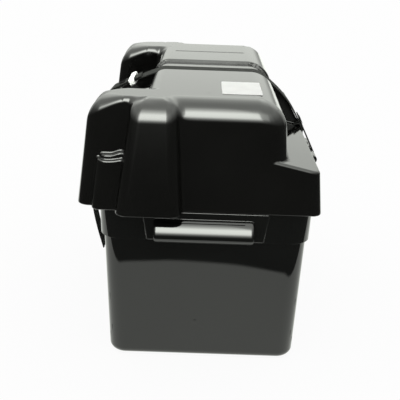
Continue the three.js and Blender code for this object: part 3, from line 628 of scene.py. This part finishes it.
def mesh_object(name, points, faces, normals=None):
    mesh = bpy.data.meshes.new(name)
    faces = np.asarray(faces)
    mesh.vertices.add(len(points))
    placed = (np.asarray(points, float) + [SHIFT, 0, 0]) * MM
    mesh.vertices.foreach_set("co", placed.ravel())
    mesh.loops.add(faces.size)
    mesh.loops.foreach_set("vertex_index", faces.ravel().astype(np.int32))
    mesh.polygons.add(len(faces))
    mesh.polygons.foreach_set("loop_start", np.arange(len(faces), dtype=np.int32) * faces.shape[1])
    mesh.update(calc_edges=True)
    mesh.validate()
    mesh.shade_smooth()
    if normals is not None:
        mesh.normals_split_custom_set_from_vertices(normals)
    return linked(name, mesh)


def mirrored(half):
    """Grid lines on both sides of 0, from those on one side."""
    return np.concatenate([-half[:0:-1], half])


# Grids of lid and tray, with finer steps where an edge needs them
lid_y_half = spans(
    (0, 2.6), (2.6, 0.7), (7, 5.5), (18, 1), (28, 5), (38, 1.2), (41, 8), (64.6, 1), (68.6, 8), (114.6, 1),
    (118.6, 1.7), (160, 1.3), (198, 0))
vent_lines = spans((90, 1.3), (92.6, 0.45), (98.9, 1.1), (101, 0))
lid_grid = (
    spans((-124.5, 1.5), (-56, 2.4), (-36, 1.3), (-19, 2.6), (-11.4, 1.3), (-7.4, 5), (26.2, 1.3), (30.2, 4),
          (42, 1.8), (62, 1.3), (84, 1.8), (98, 1.3), (110, 0)),
    np.concatenate([-lid_y_half[:0:-1], lid_y_half[lid_y_half < vent_lines[0]], vent_lines,
                    lid_y_half[lid_y_half > vent_lines[-1]]]),
    spans((161.9, 1.2), (166, 2.2), (178, 1.2), (184, 2.2), (202, 1.2), (224, 2.0), (240, 1.5), (269.5, 0)),
)
tray_grid = (
    mirrored(spans((0, 12), (36, 1.5), (62, 6), (74, 2), (99, 1.6), (104, 4), (112, 1.2), (132.5, 0))),
    mirrored(spans((0, 9.5), (28, 1.2), (38, 5.6), (55, 0.9), (69, 12), (150, 2), (162, 1.3), (176.4, 0.4),
                   (179.2, 1.3), (190.5, 0))),
    spans((-1.2, 1.2), (9, 9), (117, 1.5), (131.5, 0.12), (132.22, 1.4), (154.6, 0.35), (156.7, 1.4),
          (161.4, 0.4), (163, 1.4), (181.2, 0)),
)
lid = surface("lid_moulding", lid_field, *lid_grid)
tray = surface("tray_moulding", tray_field, *tray_grid, smooth=0.06)

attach(lid, "lid")
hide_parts("lid_cover")
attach(tray, "base")
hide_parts("base_tray")


# Webbing
def ribbon(name, stops, drift=None):
    """Woven strap: a closed skin with slanting ribs and a toothed edge, and its run and width as UVs."""
    run, xs, zs, turns = taut_path(stops)
    off = (drift(xs) if drift else 0 * xs)[:, None]
    across = np.linspace(-1, 1, 29)
    round_edge = [(1.0, 0.45), (1.0, 0.0), (1.0, -0.45)]
    section = [(y, 1.0) for y in across] + round_edge
    section += [(y, -1.0) for y in across[::-1]] + [(-y, -high) for y, high in round_edge]
    section = np.array(section)
    share, height = section[:, 0][None], section[:, 1][None]
    slant = RIB_SLANT * np.abs((share * 2) % 2 - 1)
    rib = np.sin(math.pi * (run[:, None] / RIB_PITCH + slant)) ** 2
    plain = np.abs(height) >= 1
    at_edge = np.abs(share) > 0.99
    thin_from, thin_run, thinner = EDGE_THIN
    thick = WEB / 2 - RIB_DIP * (1 - rib) - thinner * np.maximum(np.abs(share) - thin_from, 0) / thin_run * plain
    width = WEB_WIDTH / 2 - EDGE_TOOTH * (1 - rib) * at_edge - EDGE_ROUND * at_edge * plain
    lift = height * thick
    sin, cos = np.sin(turns)[:, None], np.cos(turns)[:, None]
    points = np.stack([xs[:, None] - sin * lift, share * width + off, zs[:, None] + cos * lift], -1)
    rows, columns = lift.shape
    i, j = np.meshgrid(np.arange(rows - 1), np.arange(columns), indexing="ij")
    low, high, after = i * columns, (i + 1) * columns, (j + 1) % columns
    faces = np.stack([high + j, high + after, low + after, low + j], -1).reshape(-1, 4)
    caps = []
    half = len(across)
    for first, way in ((0, -1), ((rows - 1) * columns, 1)):
        last = first + 2 * half + 2
        for k in range(half - 1):
            caps.append([first + k, first + k + 1, last - k - 1, last - k][::way])
    piece = mesh_object(name, points.reshape(-1, 3), np.concatenate([faces, np.array(caps)]))
    flat = np.stack(np.broadcast_arrays(run[:, None], share * WEB_WIDTH / 2), -1).reshape(-1, 2) * WEAVE_UV
    layer = piece.data.uv_layers.new(name="weave")
    corner = np.empty(len(piece.data.loops), dtype=np.int32)
    piece.data.loops.foreach_get("vertex_index", corner)
    layer.data.foreach_set("uv", flat[corner].ravel())
    return piece


def strap_drift(x):
    """Over the raised middle the strap lies against the groove's front edge."""
    (left, left_run), (right, right_run) = DRIFT_ENDS
    return -STRAP_DRIFT * smooth_step((x - left) / left_run) * smooth_step((right - x) / right_run)


strap = ribbon("strap_ribbon", [
    spot(on_slope(KEEPER_X + 2 * KEEPER_REACH, LAYER)), outer(GUIDE_BEND, 1), buckle_bend(SOCKET_BAR_AT),
    (*GUIDE_BEND, -1), LEFT_BEND, RIGHT_BEND, BOW_BEND, (*SHELF_BEND, -1), RIGHT_LUG, outer(SHELF_BEND, 1),
    spot(beside(*RISE, WEB_FOLD, LAYER)),
], strap_drift)
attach(strap, "strap")
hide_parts("strap_webbing")

PLUG_BEND = buckle_bend(PLUG_BAR_AT)
PAST_LOOP = (LUG_LEFT, LUG_Z, LEFT_LUG[2] + LAYER + GAP, 1)
ANCHOR_RUN = (LEFT_LUG, PLUG_BEND)
ANCHOR_LENGTH = math.dist(LEFT_LUG[:2], PLUG_BEND[:2])
PART_FROM, PART_TO = math.radians(140), math.radians(220)


def stub(angle, way):
    """A place just past (way 1) or before (way -1) where the webbing has this heading on the plug's bar."""
    x, z = contact(PLUG_BEND, angle)
    return spot((x + way * 0.01 * math.cos(angle), z + way * 0.01 * math.sin(angle)))


tail_bend = (LUG_LEFT - PAST_LOOP[2] + TAIL_BEND, TAIL_BEND_Z, TAIL_BEND, 1)
tail_angle = 1.5 * math.pi + math.asin((TAIL_BEND_Z - TAIL_LOW_Z) / TAIL_BEND)
tail_end = contact(tail_bend, tail_angle)
tail_tip = (tail_end[0] + TAIL_END * math.cos(tail_angle), tail_end[1] + TAIL_END * math.sin(tail_angle))

anchor = ribbon("anchor_ribbon", [
    spot(beside(*ANCHOR_RUN, ANCHOR_LENGTH - WEB_FOLD, LAYER)), LEFT_LUG, PLUG_BEND, stub(PART_FROM, 1)])
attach(anchor, "anchor")
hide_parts("strap_anchor")

tail = ribbon("tail_ribbon", [stub(PART_TO, -1), PLUG_BEND, PAST_LOOP, tail_bend, spot(tail_tip)])
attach(tail, "tail")
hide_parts("strap_tail")

wrap = ribbon("bar_wrap", [stub(PART_FROM, -1), PLUG_BEND, stub(PART_TO, 1)])
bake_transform(wrap)


# Buckle, drawn with its line along Z and the lid towards +X
def stood_on(place, angle):
    """Turns a piece's own X to the given direction in X and Z, and puts it at the place."""
    def turned(points):
        points = np.asarray(points, float)
        x, y, z = points[..., 0], points[..., 1], points[..., 2]
        cos, sin = math.cos(angle), math.sin(angle)
        return np.stack([place[0] + x * cos - z * sin, y, place[1] + x * sin + z * cos], -1)
    return turned


def buckle_cheeks(x, y, z, z_span):
    return rounded_box(x, np.abs(y), z, CHEEK_X, CHEEK_Y, z_span, SOFT)


def buckle_bar(x, y, z, at_x, at_z, radius):
    return bar_along_y(x, y, z, at_x, at_z, radius, BUCKLE_BAR_HALF, HAIR)


def swell(value):
    """From 0 to 1 over the value's first unit, slowing like a quarter of a wave."""
    return np.sin(np.clip(value, 0, 1) * math.pi / 2)


def socket_field(x, y, z):
    middle, run, deep = SOCKET_WAIST
    waist = deep * np.cos(np.clip((z - middle) / run, -1, 1) * math.pi / 2)
    body = rounded_box(x, np.abs(y) + waist, z, BUCKLE_X, (-30, BUCKLE_HALF), SOCKET_Z, BROAD)
    dish_x, dish_z, radius, stretch = SOCKET_DISH
    dish = np.hypot(np.hypot(y / stretch, z - dish_z), x - dish_x) - radius
    hollow = rounded_box(x, y, z, (-7.1, -0.5), (-15.6, 15.6), (20, 47.6), EASED)
    window = rounded_box(x, np.abs(y), z, (-6.1, -1.5), (10.5, 30), (37.8, 45.2), MILD)
    body = soft_max(soft_max(soft_max(body, -dish, FINE), -hollow, HOLLOW_EDGE), -window, FINE)
    bar = buckle_bar(x, y, z, BUCKLE_BAR_X, SOCKET_BAR_AT, BUCKLE_BAR)
    return soft_min(soft_min(body, buckle_cheeks(x, y, z, SOCKET_CHEEKS_Z), PLAIN), bar, FINE)


def plug_field(x, y, z):
    body = rounded_box(x, y, z, BUCKLE_X, (-BUCKLE_HALF, BUCKLE_HALF), PLUG_Z, MILD)
    grooves = np.abs(np.abs(y) - 5) - 0.7
    body = soft_max(body, -soft_max(grooves, -(x + 8.0), CRISP), CRISP)
    bow = 8.9 + 2.4 * swell((z - PRONG_Z[0]) / 14)
    half = 1.4 + 1.3 * smooth_step((z - 37) / 4)
    prong = soft_max(np.abs(np.abs(y) - bow) - half, np.abs(x + 3.8) - 1.6, NEAT)
    prong = soft_max(prong, slab(*PRONG_Z, z), MILD)
    tongue = rounded_box(x, y, z, (-5.4, -2.2), (-2.5, 2.5), (32, 42.7), EASED)
    bars = np.minimum(buckle_bar(x, y, z, BUCKLE_BAR_X, PLUG_BAR_AT, BUCKLE_BAR),
                      buckle_bar(x, y, z, *PLUG_LIP))
    body = soft_min(body, np.minimum(prong, tongue), THIN)
    return soft_min(soft_min(body, buckle_cheeks(x, y, z, PLUG_CHEEKS_Z), PLAIN), bars, FINE)


def keeper_field(x, y, z):
    """Flat steel loop round both layers of the strap, drawn with the strap along X."""
    long, wide, high = KEEPER_LOOP
    inner = WEB + GAP / 2 + GAP
    body = soft_max(soft_max(np.abs(y) - wide, np.abs(z) - high, BROAD), np.abs(x) - long, NEAT)
    hole = soft_max(np.abs(y) - wide + KEEPER_END, np.abs(z) - inner, FINE)
    return soft_max(body, -hole, FINE)


BUCKLE_STAND = stood_on(LINE_START, LINE_ANGLE - math.pi / 2)
KEEPER_STAND = stood_on(on_slope(KEEPER_X, LAYER / 2), SLOPE_ANGLE)
buckle_grid = (even(-9.2, 1.6, 0.45), even(-18, 18, 0.6))
keeper_grid = (even(-3.7, 3.7, 0.3), even(-22.8, 22.8, 0.7), even(-4.5, 4.5, 0.3))
socket = surface("socket_shell", socket_field, *buckle_grid, even(33.2, 58.4, 0.5), BUCKLE_STAND, 0.25)
plug = surface("plug_body", plug_field, *buckle_grid, even(15.5, 46.8, 0.5), BUCKLE_STAND, 0.25)
keeper = surface("keeper_loop", keeper_field, *keeper_grid, KEEPER_STAND, 0.2)
for piece, body, node, slot in (
    (socket, "strap", "buckle_socket", "buckle_plastic"), (plug, "anchor", "buckle_plug", "buckle_plastic"),
    (keeper, "strap", "strap_keeper", "bright_steel"),
):
    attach(piece, body)
    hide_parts(node)


# Sewing: rows of zigzag thread, drawn with the strap along X and the thread above Z = 0
def zigzags(name, stand, rows=(-2.3, 0.0, 2.3), half=8.6, pitch=1.5, reach=0.85, radius=0.2, sides=6):
    steps = round(4 * half / pitch) * 2
    points, faces = [], []
    for row in rows:
        base = len(points)
        for k in range(steps + 1):
            y = -half + 2 * half * k / steps
            wave = abs((k / 4) % 1 * 2 - 1) * 2 - 1
            lift = 0.26 - 0.2 * abs(wave) ** 4
            for side in range(sides):
                angle = 2 * math.pi * side / sides
                across, up = radius * math.cos(angle), radius * math.sin(angle)
                points.append((row + reach * wave + across, y, lift + up))
        for k in range(steps):
            for side in range(sides):
                a, b = base + k * sides + side, base + k * sides + (side + 1) % sides
                faces.append((a, a + sides, b + sides, b))
    return mesh_object(name, stand(np.array(points)), faces)


def raised(place, angle, lift, way=1):
    """A stand lifted off the webbing; way -1 turns the thread's top side down."""
    stand = stood_on(place, angle)
    return lambda points: stand(np.asarray(points) * [1, 1, way] + [0, 0, lift])


OVER_LAYERS = WEB / 2 + LAYER + GAP
UNDER_WEB = -WEB / 2 - GAP
stitches = []
left_tack = on_slope(KEEPER_X - KEEPER_REACH - TACK_LENGTH, 0)
right_tack = beside(*RISE, WEB_FOLD / 2, 0)
anchor_tack = beside(*ANCHOR_RUN, ANCHOR_LENGTH - WEB_FOLD / 2, 0)
anchor_stand = raised(anchor_tack, heading(*ANCHOR_RUN), UNDER_WEB, -1)
for name, body, node, stand in (
    ("left_threads", "strap", "left_stitching", raised(left_tack, SLOPE_ANGLE, OVER_LAYERS)),
    ("right_threads", "strap", "right_stitching", raised(right_tack, heading(*RISE), OVER_LAYERS)),
    ("anchor_threads", "anchor", "anchor_stitching", anchor_stand),
):
    threads = zigzags(name, stand)
    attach(threads, body)
    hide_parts(node)
    stitches.append(threads)


# Bare sticker with round corners
def flat_piece(name, points, faces):
    mesh = bpy.data.meshes.new(name)
    mesh.from_pydata(points, [], faces)
    return linked(name, mesh)


def sticker(name, x_span, y_span, low, thick, radius=2.0, corner_steps=6, taper=(0.994, 0.996)):
    """A thin sheet whose top is a little smaller than its underside."""
    ring = []
    for right, back, start in ((1, 0, -90), (1, 1, 0), (0, 1, 90), (0, 0, 180)):
        cx, cy = x_span[right] + radius * (1 - 2 * right), y_span[back] + radius * (1 - 2 * back)
        for k in range(corner_steps + 1):
            angle = math.radians(start + 90 * k / corner_steps)
            ring.append((cx + radius * math.cos(angle), cy + radius * math.sin(angle)))
    middle = (sum(x_span) / 2, sum(y_span) / 2)
    top = [[m + (value - m) * share for m, value, share in zip(middle, place, taper)] for place in ring]
    count = len(ring)
    points = [(x, y, low) for x, y in ring] + [(x, y, low + thick) for x, y in top]
    points += [(*middle, low), (*middle, low + thick)]
    faces = []
    for k in range(count):
        after = (k + 1) % count
        faces.append((k, after, count + after, count + k))
        faces.append((count + k, count + after, 2 * count + 1))
        faces.append((after, k, 2 * count))
    return flat_piece(name, [((x + SHIFT) * MM, y * MM, z * MM) for x, y, z in points], faces)


label = sticker("label_sheet", LABEL_X, LABEL_Y, LID_TOP + GAP / 3, GAP)
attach(label, "lid")
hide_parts("top_label")


# Camera: the photograph's place, turn and lens
CAMERA_AT = (-7.7, -823.7, 417.2)
CAMERA_TURN = (0.14, 20.52, 2.02)  # yaw, pitch and roll in degrees
SENSOR = 36.0
LENS_PIXELS = 742.7
PICTURE_PIXELS = 400


def place_camera():
    yaw, pitch, roll = (math.radians(angle) for angle in CAMERA_TURN)
    forward = Vector((math.sin(yaw) * math.cos(pitch), math.cos(yaw) * math.cos(pitch), -math.sin(pitch)))
    right = forward.cross(Vector((0, 0, 1))).normalized()
    up = right.cross(forward)
    turned_right = right * math.cos(roll) + up * math.sin(roll)
    turned_up = up * math.cos(roll) - right * math.sin(roll)
    data = bpy.data.cameras.new("camera")
    data.sensor_width = SENSOR
    data.lens = SENSOR * LENS_PIXELS / PICTURE_PIXELS
    camera = linked("camera", data)
    rotation = Matrix((turned_right, turned_up, -forward)).transposed()
    place = (Vector(CAMERA_AT) + Vector((SHIFT, 0, 0))) * MM
    camera.matrix_world = Matrix.Translation(place) @ rotation.to_4x4()
    bpy.context.scene.camera = camera


place_camera()


# Node trees
class Tree:
    """A short way to write a node tree."""

    def __init__(self, tree):
        self.tree = tree
        self.tree.nodes.clear()

    def add(self, kind, **values):
        node = self.tree.nodes.new("ShaderNode" + kind)
        for name, value in values.items():
            if hasattr(node, name):
                setattr(node, name, value)
            else:
                self.put(node.inputs[name.replace("_", " ")], value)
        return node

    def put(self, socket, value):
        if isinstance(value, bpy.types.NodeSocket):
            self.tree.links.new(value, socket)
        else:
            socket.default_value = value

    def math(self, operation, a, b=0.0):
        node = self.add("Math", operation=operation)
        self.put(node.inputs[0], a)
        self.put(node.inputs[1], b)
        return node.outputs[0]

    def plus(self, a, b):
        return self.math("ADD", a, b)

    def times(self, a, b):
        return self.math("MULTIPLY", a, b)

    def to_share(self, value):
        """From between -1 and 1 to between 0 and 1, which a ramp can take."""
        return self.plus(self.times(value, 0.5), 0.5)

    def ramp(self, value, stops):
        node = self.add("ValToRGB")
        node.color_ramp.elements[0].position = stops[0][0]
        node.color_ramp.elements[1].position = stops[-1][0]
        for position, _ in stops[1:-1]:
            node.color_ramp.elements.new(position)
        for element, (_, level) in zip(node.color_ramp.elements, stops):
            element.color = (*level, 1) if isinstance(level, tuple) else (level, level, level, 1)
        self.put(node.inputs[0], value)
        return node.outputs[0]

    def mix(self, share, first, second):
        node = self.add("MixShader", Fac=share)
        self.put(node.inputs[1], first)
        self.put(node.inputs[2], second)
        return node.outputs[0]

    def output(self, kind, shader):
        self.put(self.add("Output" + kind).inputs["Surface"], shader)


class Material(Tree):
    """A Principled material whose bumps are laid one over the other, the coarsest first."""

    def __init__(self, name):
        self.made = bpy.data.materials.new(name)
        self.made.use_nodes = True
        super().__init__(self.made.node_tree)
        self.shader = self.add("BsdfPrincipled")
        self.output("Material", self.shader.outputs["BSDF"])
        self.place = self.add("TexCoord").outputs["Object"]
        self.bumped = None

    def set(self, **values):
        for name, value in values.items():
            self.put(self.shader.inputs[name.replace("_", " ")], value)

    def noise(self, **values):
        return self.add("TexNoise", **{"Vector": self.place, **values}).outputs["Fac"]

    def tint(self, value, shade, *stops):
        """Shares of a shade along a ramp."""
        return self.ramp(value, [(at, tuple(share * c for c in shade)) for at, share in stops])

    def bump(self, **values):
        node = self.add("Bump", **values)
        if self.bumped:
            self.put(node.inputs["Normal"], self.bumped)
        self.bumped = node.outputs["Normal"]
        self.set(Normal=self.bumped)

    def distance_from(self, spot_mm):
        """Distance in metres from a place on the box, given in millimetres."""
        node = self.add("VectorMath", operation="DISTANCE")
        self.put(node.inputs[0], self.place)
        self.put(node.inputs[1], ((spot_mm[0] + SHIFT) * MM, spot_mm[1] * MM, spot_mm[2] * MM))
        return node.outputs["Value"]


GATE_RING = [(0.0, 0.1), (0.12, 1.0), (0.2, 0.2), (0.4, 0.7), (0.55, 0.0)]


def gloss_plastic(name, shade, gate, rough, smudged):
    """Moulded polypropylene: near black and glossy, with faint flow, sink, fine grain and the gate's mark."""
    tree = Material(name)
    cloud = tree.noise(Scale=14.0, Detail=2.0)
    fine = tree.noise(Scale=900.0, Detail=3.0)
    smudge = tree.noise(Scale=38.0, Detail=6.0, Roughness=0.7)
    haze = tree.ramp(smudge, [(0.45, 0.0), (0.75, smudged)])
    roughness = tree.plus(tree.plus(rough, tree.times(fine, smudged / 2)), haze)
    tree.set(Base_Color=tree.tint(cloud, shade, (0.3, 0.8), (0.7, 1.2)), Roughness=roughness, IOR=1.5)
    tree.bump(Height=tree.noise(Scale=16.0, Detail=1.0), Distance=0.0004, Strength=0.35)
    ring = tree.ramp(tree.times(tree.distance_from(gate), 200.0), GATE_RING)
    tree.bump(Height=ring, Distance=0.0004, Strength=0.6)
    tree.bump(Height=fine, Distance=0.00001, Strength=0.5)
    return tree.made


def woven(name, shade):
    """Polypropylene webbing: slanting ribs of filament bundles, with painted shade in the grooves between them
    and between the threads, and a soft sheen.
    """
    tree = Material(name)
    uv = tree.add("UVMap", uv_map="weave").outputs["UV"]
    parts = tree.add("SeparateXYZ", Vector=uv).outputs
    run = tree.times(parts["X"], 1 / WEAVE_UV)
    across = tree.times(parts["Y"], 1 / WEAVE_UV)
    folded = tree.times(tree.math("DIVIDE", across, WEB_WIDTH / 2), 2.0)
    slant = tree.math("ABSOLUTE", tree.math("SUBTRACT", tree.math("FLOORED_MODULO", folded, 2.0), 1.0))
    phase = tree.plus(tree.math("DIVIDE", run, RIB_PITCH), tree.times(slant, RIB_SLANT))
    rib = tree.math("ABSOLUTE", tree.math("SINE", tree.times(phase, math.pi)))
    threads = tree.math("ABSOLUTE", tree.math("SINE", tree.times(across, math.pi / 0.8)))
    weave = tree.plus(tree.times(rib, 0.7), tree.times(threads, 0.3))
    fuzz = tree.noise(Scale=1500.0, Detail=2.0)
    shown = tree.times(weave, tree.plus(0.7, tree.times(fuzz, 0.6)))
    # Painted shade: the colour falls to a quarter of the shade in the grooves between ribs and threads; fuzz
    # varies it at random.
    tree.set(Base_Color=tree.tint(shown, shade, (0.0, 0.25), (0.9, 1.0)),
             Roughness=tree.ramp(fuzz, [(0.3, 0.42), (0.7, 0.58)]),
             Specular_IOR_Level=0.008, Sheen_Weight=0.006, Sheen_Roughness=0.4)
    tree.bump(Height=weave, Distance=0.0004, Strength=0.7)
    tree.bump(Height=fuzz, Distance=0.00008, Strength=0.6)
    return tree.made


def grained_plastic(name, shade):
    """Acetal buckle: satin black with a fine spark-eroded grain and lightly rubbed high spots."""
    tree = Material(name)
    grain = tree.noise(Scale=2200.0, Detail=3.0)
    rubbed = tree.noise(Scale=120.0, Detail=3.0)
    tree.set(Base_Color=tree.tint(rubbed, shade, (0.35, 0.85), (0.7, 1.3)),
             Roughness=tree.ramp(rubbed, [(0.3, 0.3), (0.7, 0.4)]), IOR=1.48)
    tree.bump(Height=grain, Distance=0.00003, Strength=0.8)
    return tree.made


def bright_steel(name):
    """Nickelled steel with fine brushing along the strap's width and a few dull spots."""
    tree = Material(name)
    stretch = tree.add("Mapping", Vector=tree.place, Scale=(2600.0, 60.0, 2600.0)).outputs[0]
    brush = tree.noise(Vector=stretch, Scale=1.0, Detail=3.0)
    dull = tree.noise(Scale=300.0, Detail=3.0)
    tree.set(Base_Color=tree.ramp(dull, [(0.3, (0.86, 0.87, 0.87)), (0.7, (0.95, 0.95, 0.94))]),
             Roughness=tree.plus(0.4, tree.times(brush, 0.2)), Metallic=1.0)
    tree.bump(Height=brush, Distance=0.00002, Strength=0.6)
    return tree.made


def sewing_thread(name, shade):
    """Twisted polyester thread."""
    tree = Material(name)
    twist = tree.add("TexWave", Vector=tree.place, Scale=900.0, Distortion=2.0, Detail=1.0).outputs["Fac"]
    tree.set(Base_Color=tree.tint(twist, shade, (0.2, 0.5), (0.8, 1.0)),
             Roughness=tree.ramp(twist, [(0.2, 0.45), (0.8, 0.6)]),
             Specular_IOR_Level=0.008, Sheen_Weight=0.006)
    tree.bump(Height=twist, Distance=0.00006, Strength=0.7)
    return tree.made


def paper(name, shade):
    """Coated paper: fibre mottle, faint stains and a slight cockle."""
    tree = Material(name)
    fibre = tree.noise(Scale=1300.0, Detail=4.0)
    stain = tree.noise(Scale=60.0, Detail=3.0)
    tree.set(Base_Color=tree.tint(stain, shade, (0.3, 0.94), (0.65, 1.0)),
             Roughness=tree.ramp(fibre, [(0.3, 0.42), (0.7, 0.55)]), Specular_IOR_Level=0.1)
    tree.bump(Height=stain, Distance=0.0003, Strength=0.3)
    tree.bump(Height=fibre, Distance=0.00003, Strength=0.4)
    return tree.made


LID_GATE = (-1.0, -140.0, LID_TOP)
TRAY_GATE = (-7.0, -168.0, 41.0)
lid.data.materials.append(gloss_plastic("lid_gloss", (0.0042, 0.0042, 0.0037), LID_GATE, 0.06, 0.05))
tray.data.materials.append(gloss_plastic("tray_gloss", (0.0052, 0.0055, 0.0050), TRAY_GATE, 0.02, 0.025))
for name, pieces in (("strap_weave", (strap,)), ("anchor_weave", (anchor, wrap)), ("tail_weave", (tail,))):
    weave = woven(name, (0.046, 0.048, 0.044))
    for piece in pieces:
        piece.data.materials.append(weave)
socket.data.materials.append(grained_plastic("socket_acetal", (0.010, 0.010, 0.010)))
plug.data.materials.append(grained_plastic("plug_acetal", (0.013, 0.013, 0.013)))
keeper.data.materials.append(bright_steel("keeper_nickel"))
label.data.materials.append(paper("label_paper", (0.80, 0.81, 0.78)))
thread_finish = sewing_thread("black_thread", (0.03, 0.03, 0.03))
for piece in stitches:
    piece.data.materials.append(thread_finish)


# Studio: levels are those that a mirror would show, read against the height of the ray in degrees
BEHIND = [(-90, 0.1), (-12, 0.2), (-1, 0.5), (3, 1.1), (8, 1.3), (12, 1.4), (16, 1.75), (25, 2.6), (37, 3.3),
          (45, 3.9), (60, 3.5), (77, 3.2), (90, 2.9)]
ASIDE = [(-90, 0.06), (0, 0.08), (5, 0.2), (20, 0.8), (44, 2.5), (60, 2.6), (77, 3.0), (90, 2.9)]
IN_FRONT = [(-90, 0.06), (-12, 0.07), (-5, 0.08), (-1, 0.12), (3, 0.34), (7, 1.25), (13, 3.6), (18, 8.6),
            (24, 15.5), (32, 17.6), (44, 17.8), (51, 13.5), (58, 8.8), (63, 7.0), (69, 4.2), (77, 3.2),
            (90, 2.9)]
LAMP_SIDES = [(0.2, 0.12), (0.345, 1.0), (0.5535, 1.0), (0.566, 0.32), (0.72, 0.06)]  # from left to right
BRIGHTEST = 18.0
STUDIO_TINT = (0.97, 1.0, 0.935, 1)
WHITE = (1, 1, 1, 1)


def profile(tree, height, stops):
    shares = [(math.sin(math.radians(degrees)) / 2 + 0.5, level / BRIGHTEST) for degrees, level in stops]
    return tree.times(tree.ramp(height, shares), BRIGHTEST)


def studio_world():
    """White to the camera, plain light on the box, and in reflections the tent that stood round the real one:
    a pale wall behind, a ceiling, a wide bright lamp high in front, and dark below it."""
    world = bpy.data.worlds.new("studio")
    bpy.context.scene.world = world
    world.use_nodes = True
    tree = Tree(world.node_tree)
    parts = tree.add("SeparateXYZ", Vector=tree.add("TexCoord").outputs["Generated"]).outputs
    height = tree.to_share(parts["Z"])
    flat = tree.plus(tree.math("POWER", parts["X"], 2.0), tree.math("POWER", parts["Y"], 2.0))
    flat = tree.math("MAXIMUM", tree.math("SQRT", flat), 0.001)
    facing, across = (tree.math("DIVIDE", parts[axis], flat) for axis in "YX")
    lamp = tree.ramp(tree.to_share(across), LAMP_SIDES)
    mirrored = aside = profile(tree, height, ASIDE)
    for way, stops, start, full, ends in ((-1.0, IN_FRONT, 0.55, 0.86, lamp), (1.0, BEHIND, 0.4, 0.75, 1.0)):
        share = tree.ramp(tree.times(facing, way), [(start, 0.0), (full, 1.0)])
        more = tree.math("SUBTRACT", profile(tree, height, stops), aside)
        mirrored = tree.plus(mirrored, tree.times(more, tree.times(share, ends)))
    plain = tree.ramp(height, [(0.0, 0.35), (0.5, 0.75), (1.0, 1.1)])
    path = tree.add("LightPath").outputs
    light, mirror, white = (tree.add("Background", Color=colour, Strength=level).outputs[0]
                            for colour, level in ((WHITE, plain), (STUDIO_TINT, mirrored), (WHITE, 1.0)))
    seen = tree.mix(path["Is Glossy Ray"], light, mirror)
    tree.output("World", tree.mix(path["Is Camera Ray"], seen, white))


# White sheet under the box, in metres; its front edge is Y = SHEET_EDGE + SHEET_SKEW X + SHEET_BOW X X
SHEET_HALF = 4.0
SHEET_SINK = 0.0004
SHEET_EDGE = -0.368
SHEET_SKEW = 0.06
SHEET_BOW = 1.5
SHEET_SHARP = 20.0
SHEET_LEVEL = 1.25
SHEET_DARK = 0.08
SHEET_BLUR = [(0.42, 0.0), (0.58, 1.0)]
BEHIND_BOX = [(0.55, 1.0), (0.95, 0.3)]  # its level along Y, past the box
FOOT_OF_WALL = [(0.3, 0.0), (0.4, 0.7)]  # where it meets the wall, as shares of its half length
RIGHT_HALF = [(0.4, 0.0), (0.6, 1.0)]
PAPER_WHITE = (0.86, 0.86, 0.86, 1)
SHEET_GLOW = 0.93


def studio_floor():
    """A white sheet that ends a little in front of the box; past it the reflections are dark. In reflections the
    floor glows as a painted reflection of the lit sheet.
    """
    corners = [(x * SHEET_HALF, y * SHEET_HALF, 0) for x, y in ((-1, -1), (1, -1), (1, 1), (-1, 1))]
    floor = flat_piece("floor", corners, [(0, 1, 2, 3)])
    floor.location.z = -SHEET_SINK
    made = bpy.data.materials.new("floor_sheet")
    made.use_nodes = True
    tree = Tree(made.node_tree)
    parts = tree.add("SeparateXYZ", Vector=tree.add("TexCoord").outputs["Object"]).outputs
    # Painted reflection: the level at which the floor glows for glossy rays, bright on the sheet, dark past its
    # front edge, dimmer further behind the box and brighter far back on the right.
    bow = tree.times(tree.math("POWER", tree.math("ABSOLUTE", parts["X"]), 2.0), SHEET_BOW)
    edge = tree.plus(bow, tree.plus(tree.times(parts["X"], SHEET_SKEW), SHEET_EDGE))
    inside = tree.times(tree.math("SUBTRACT", parts["Y"], edge), SHEET_SHARP)
    near = tree.ramp(tree.plus(inside, 0.5), SHEET_BLUR)
    wall = tree.ramp(tree.math("DIVIDE", parts["Y"], SHEET_HALF), FOOT_OF_WALL)
    right = tree.ramp(tree.plus(parts["X"], 0.5), RIGHT_HALF)
    far = tree.plus(tree.ramp(parts["Y"], BEHIND_BOX), tree.times(wall, right))
    level = tree.plus(tree.times(tree.times(near, far), SHEET_LEVEL), SHEET_DARK)
    path = tree.add("LightPath").outputs
    white = tree.add("Emission", Color=WHITE, Strength=1.0).outputs[0]
    reflected = tree.add("Emission", Color=STUDIO_TINT, Strength=level).outputs[0]
    paper_shade = tree.add("BsdfDiffuse", Color=PAPER_WHITE).outputs[0]
    glossy = tree.mix(path["Is Glossy Ray"], paper_shade, reflected)
    shown = tree.mix(SHEET_GLOW, paper_shade, white)
    tree.output("Material", tree.mix(path["Is Camera Ray"], glossy, shown))
    floor.data.materials.append(made)


studio_world()
studio_floor()

bpy.context.scene.view_settings.view_transform = "Standard"
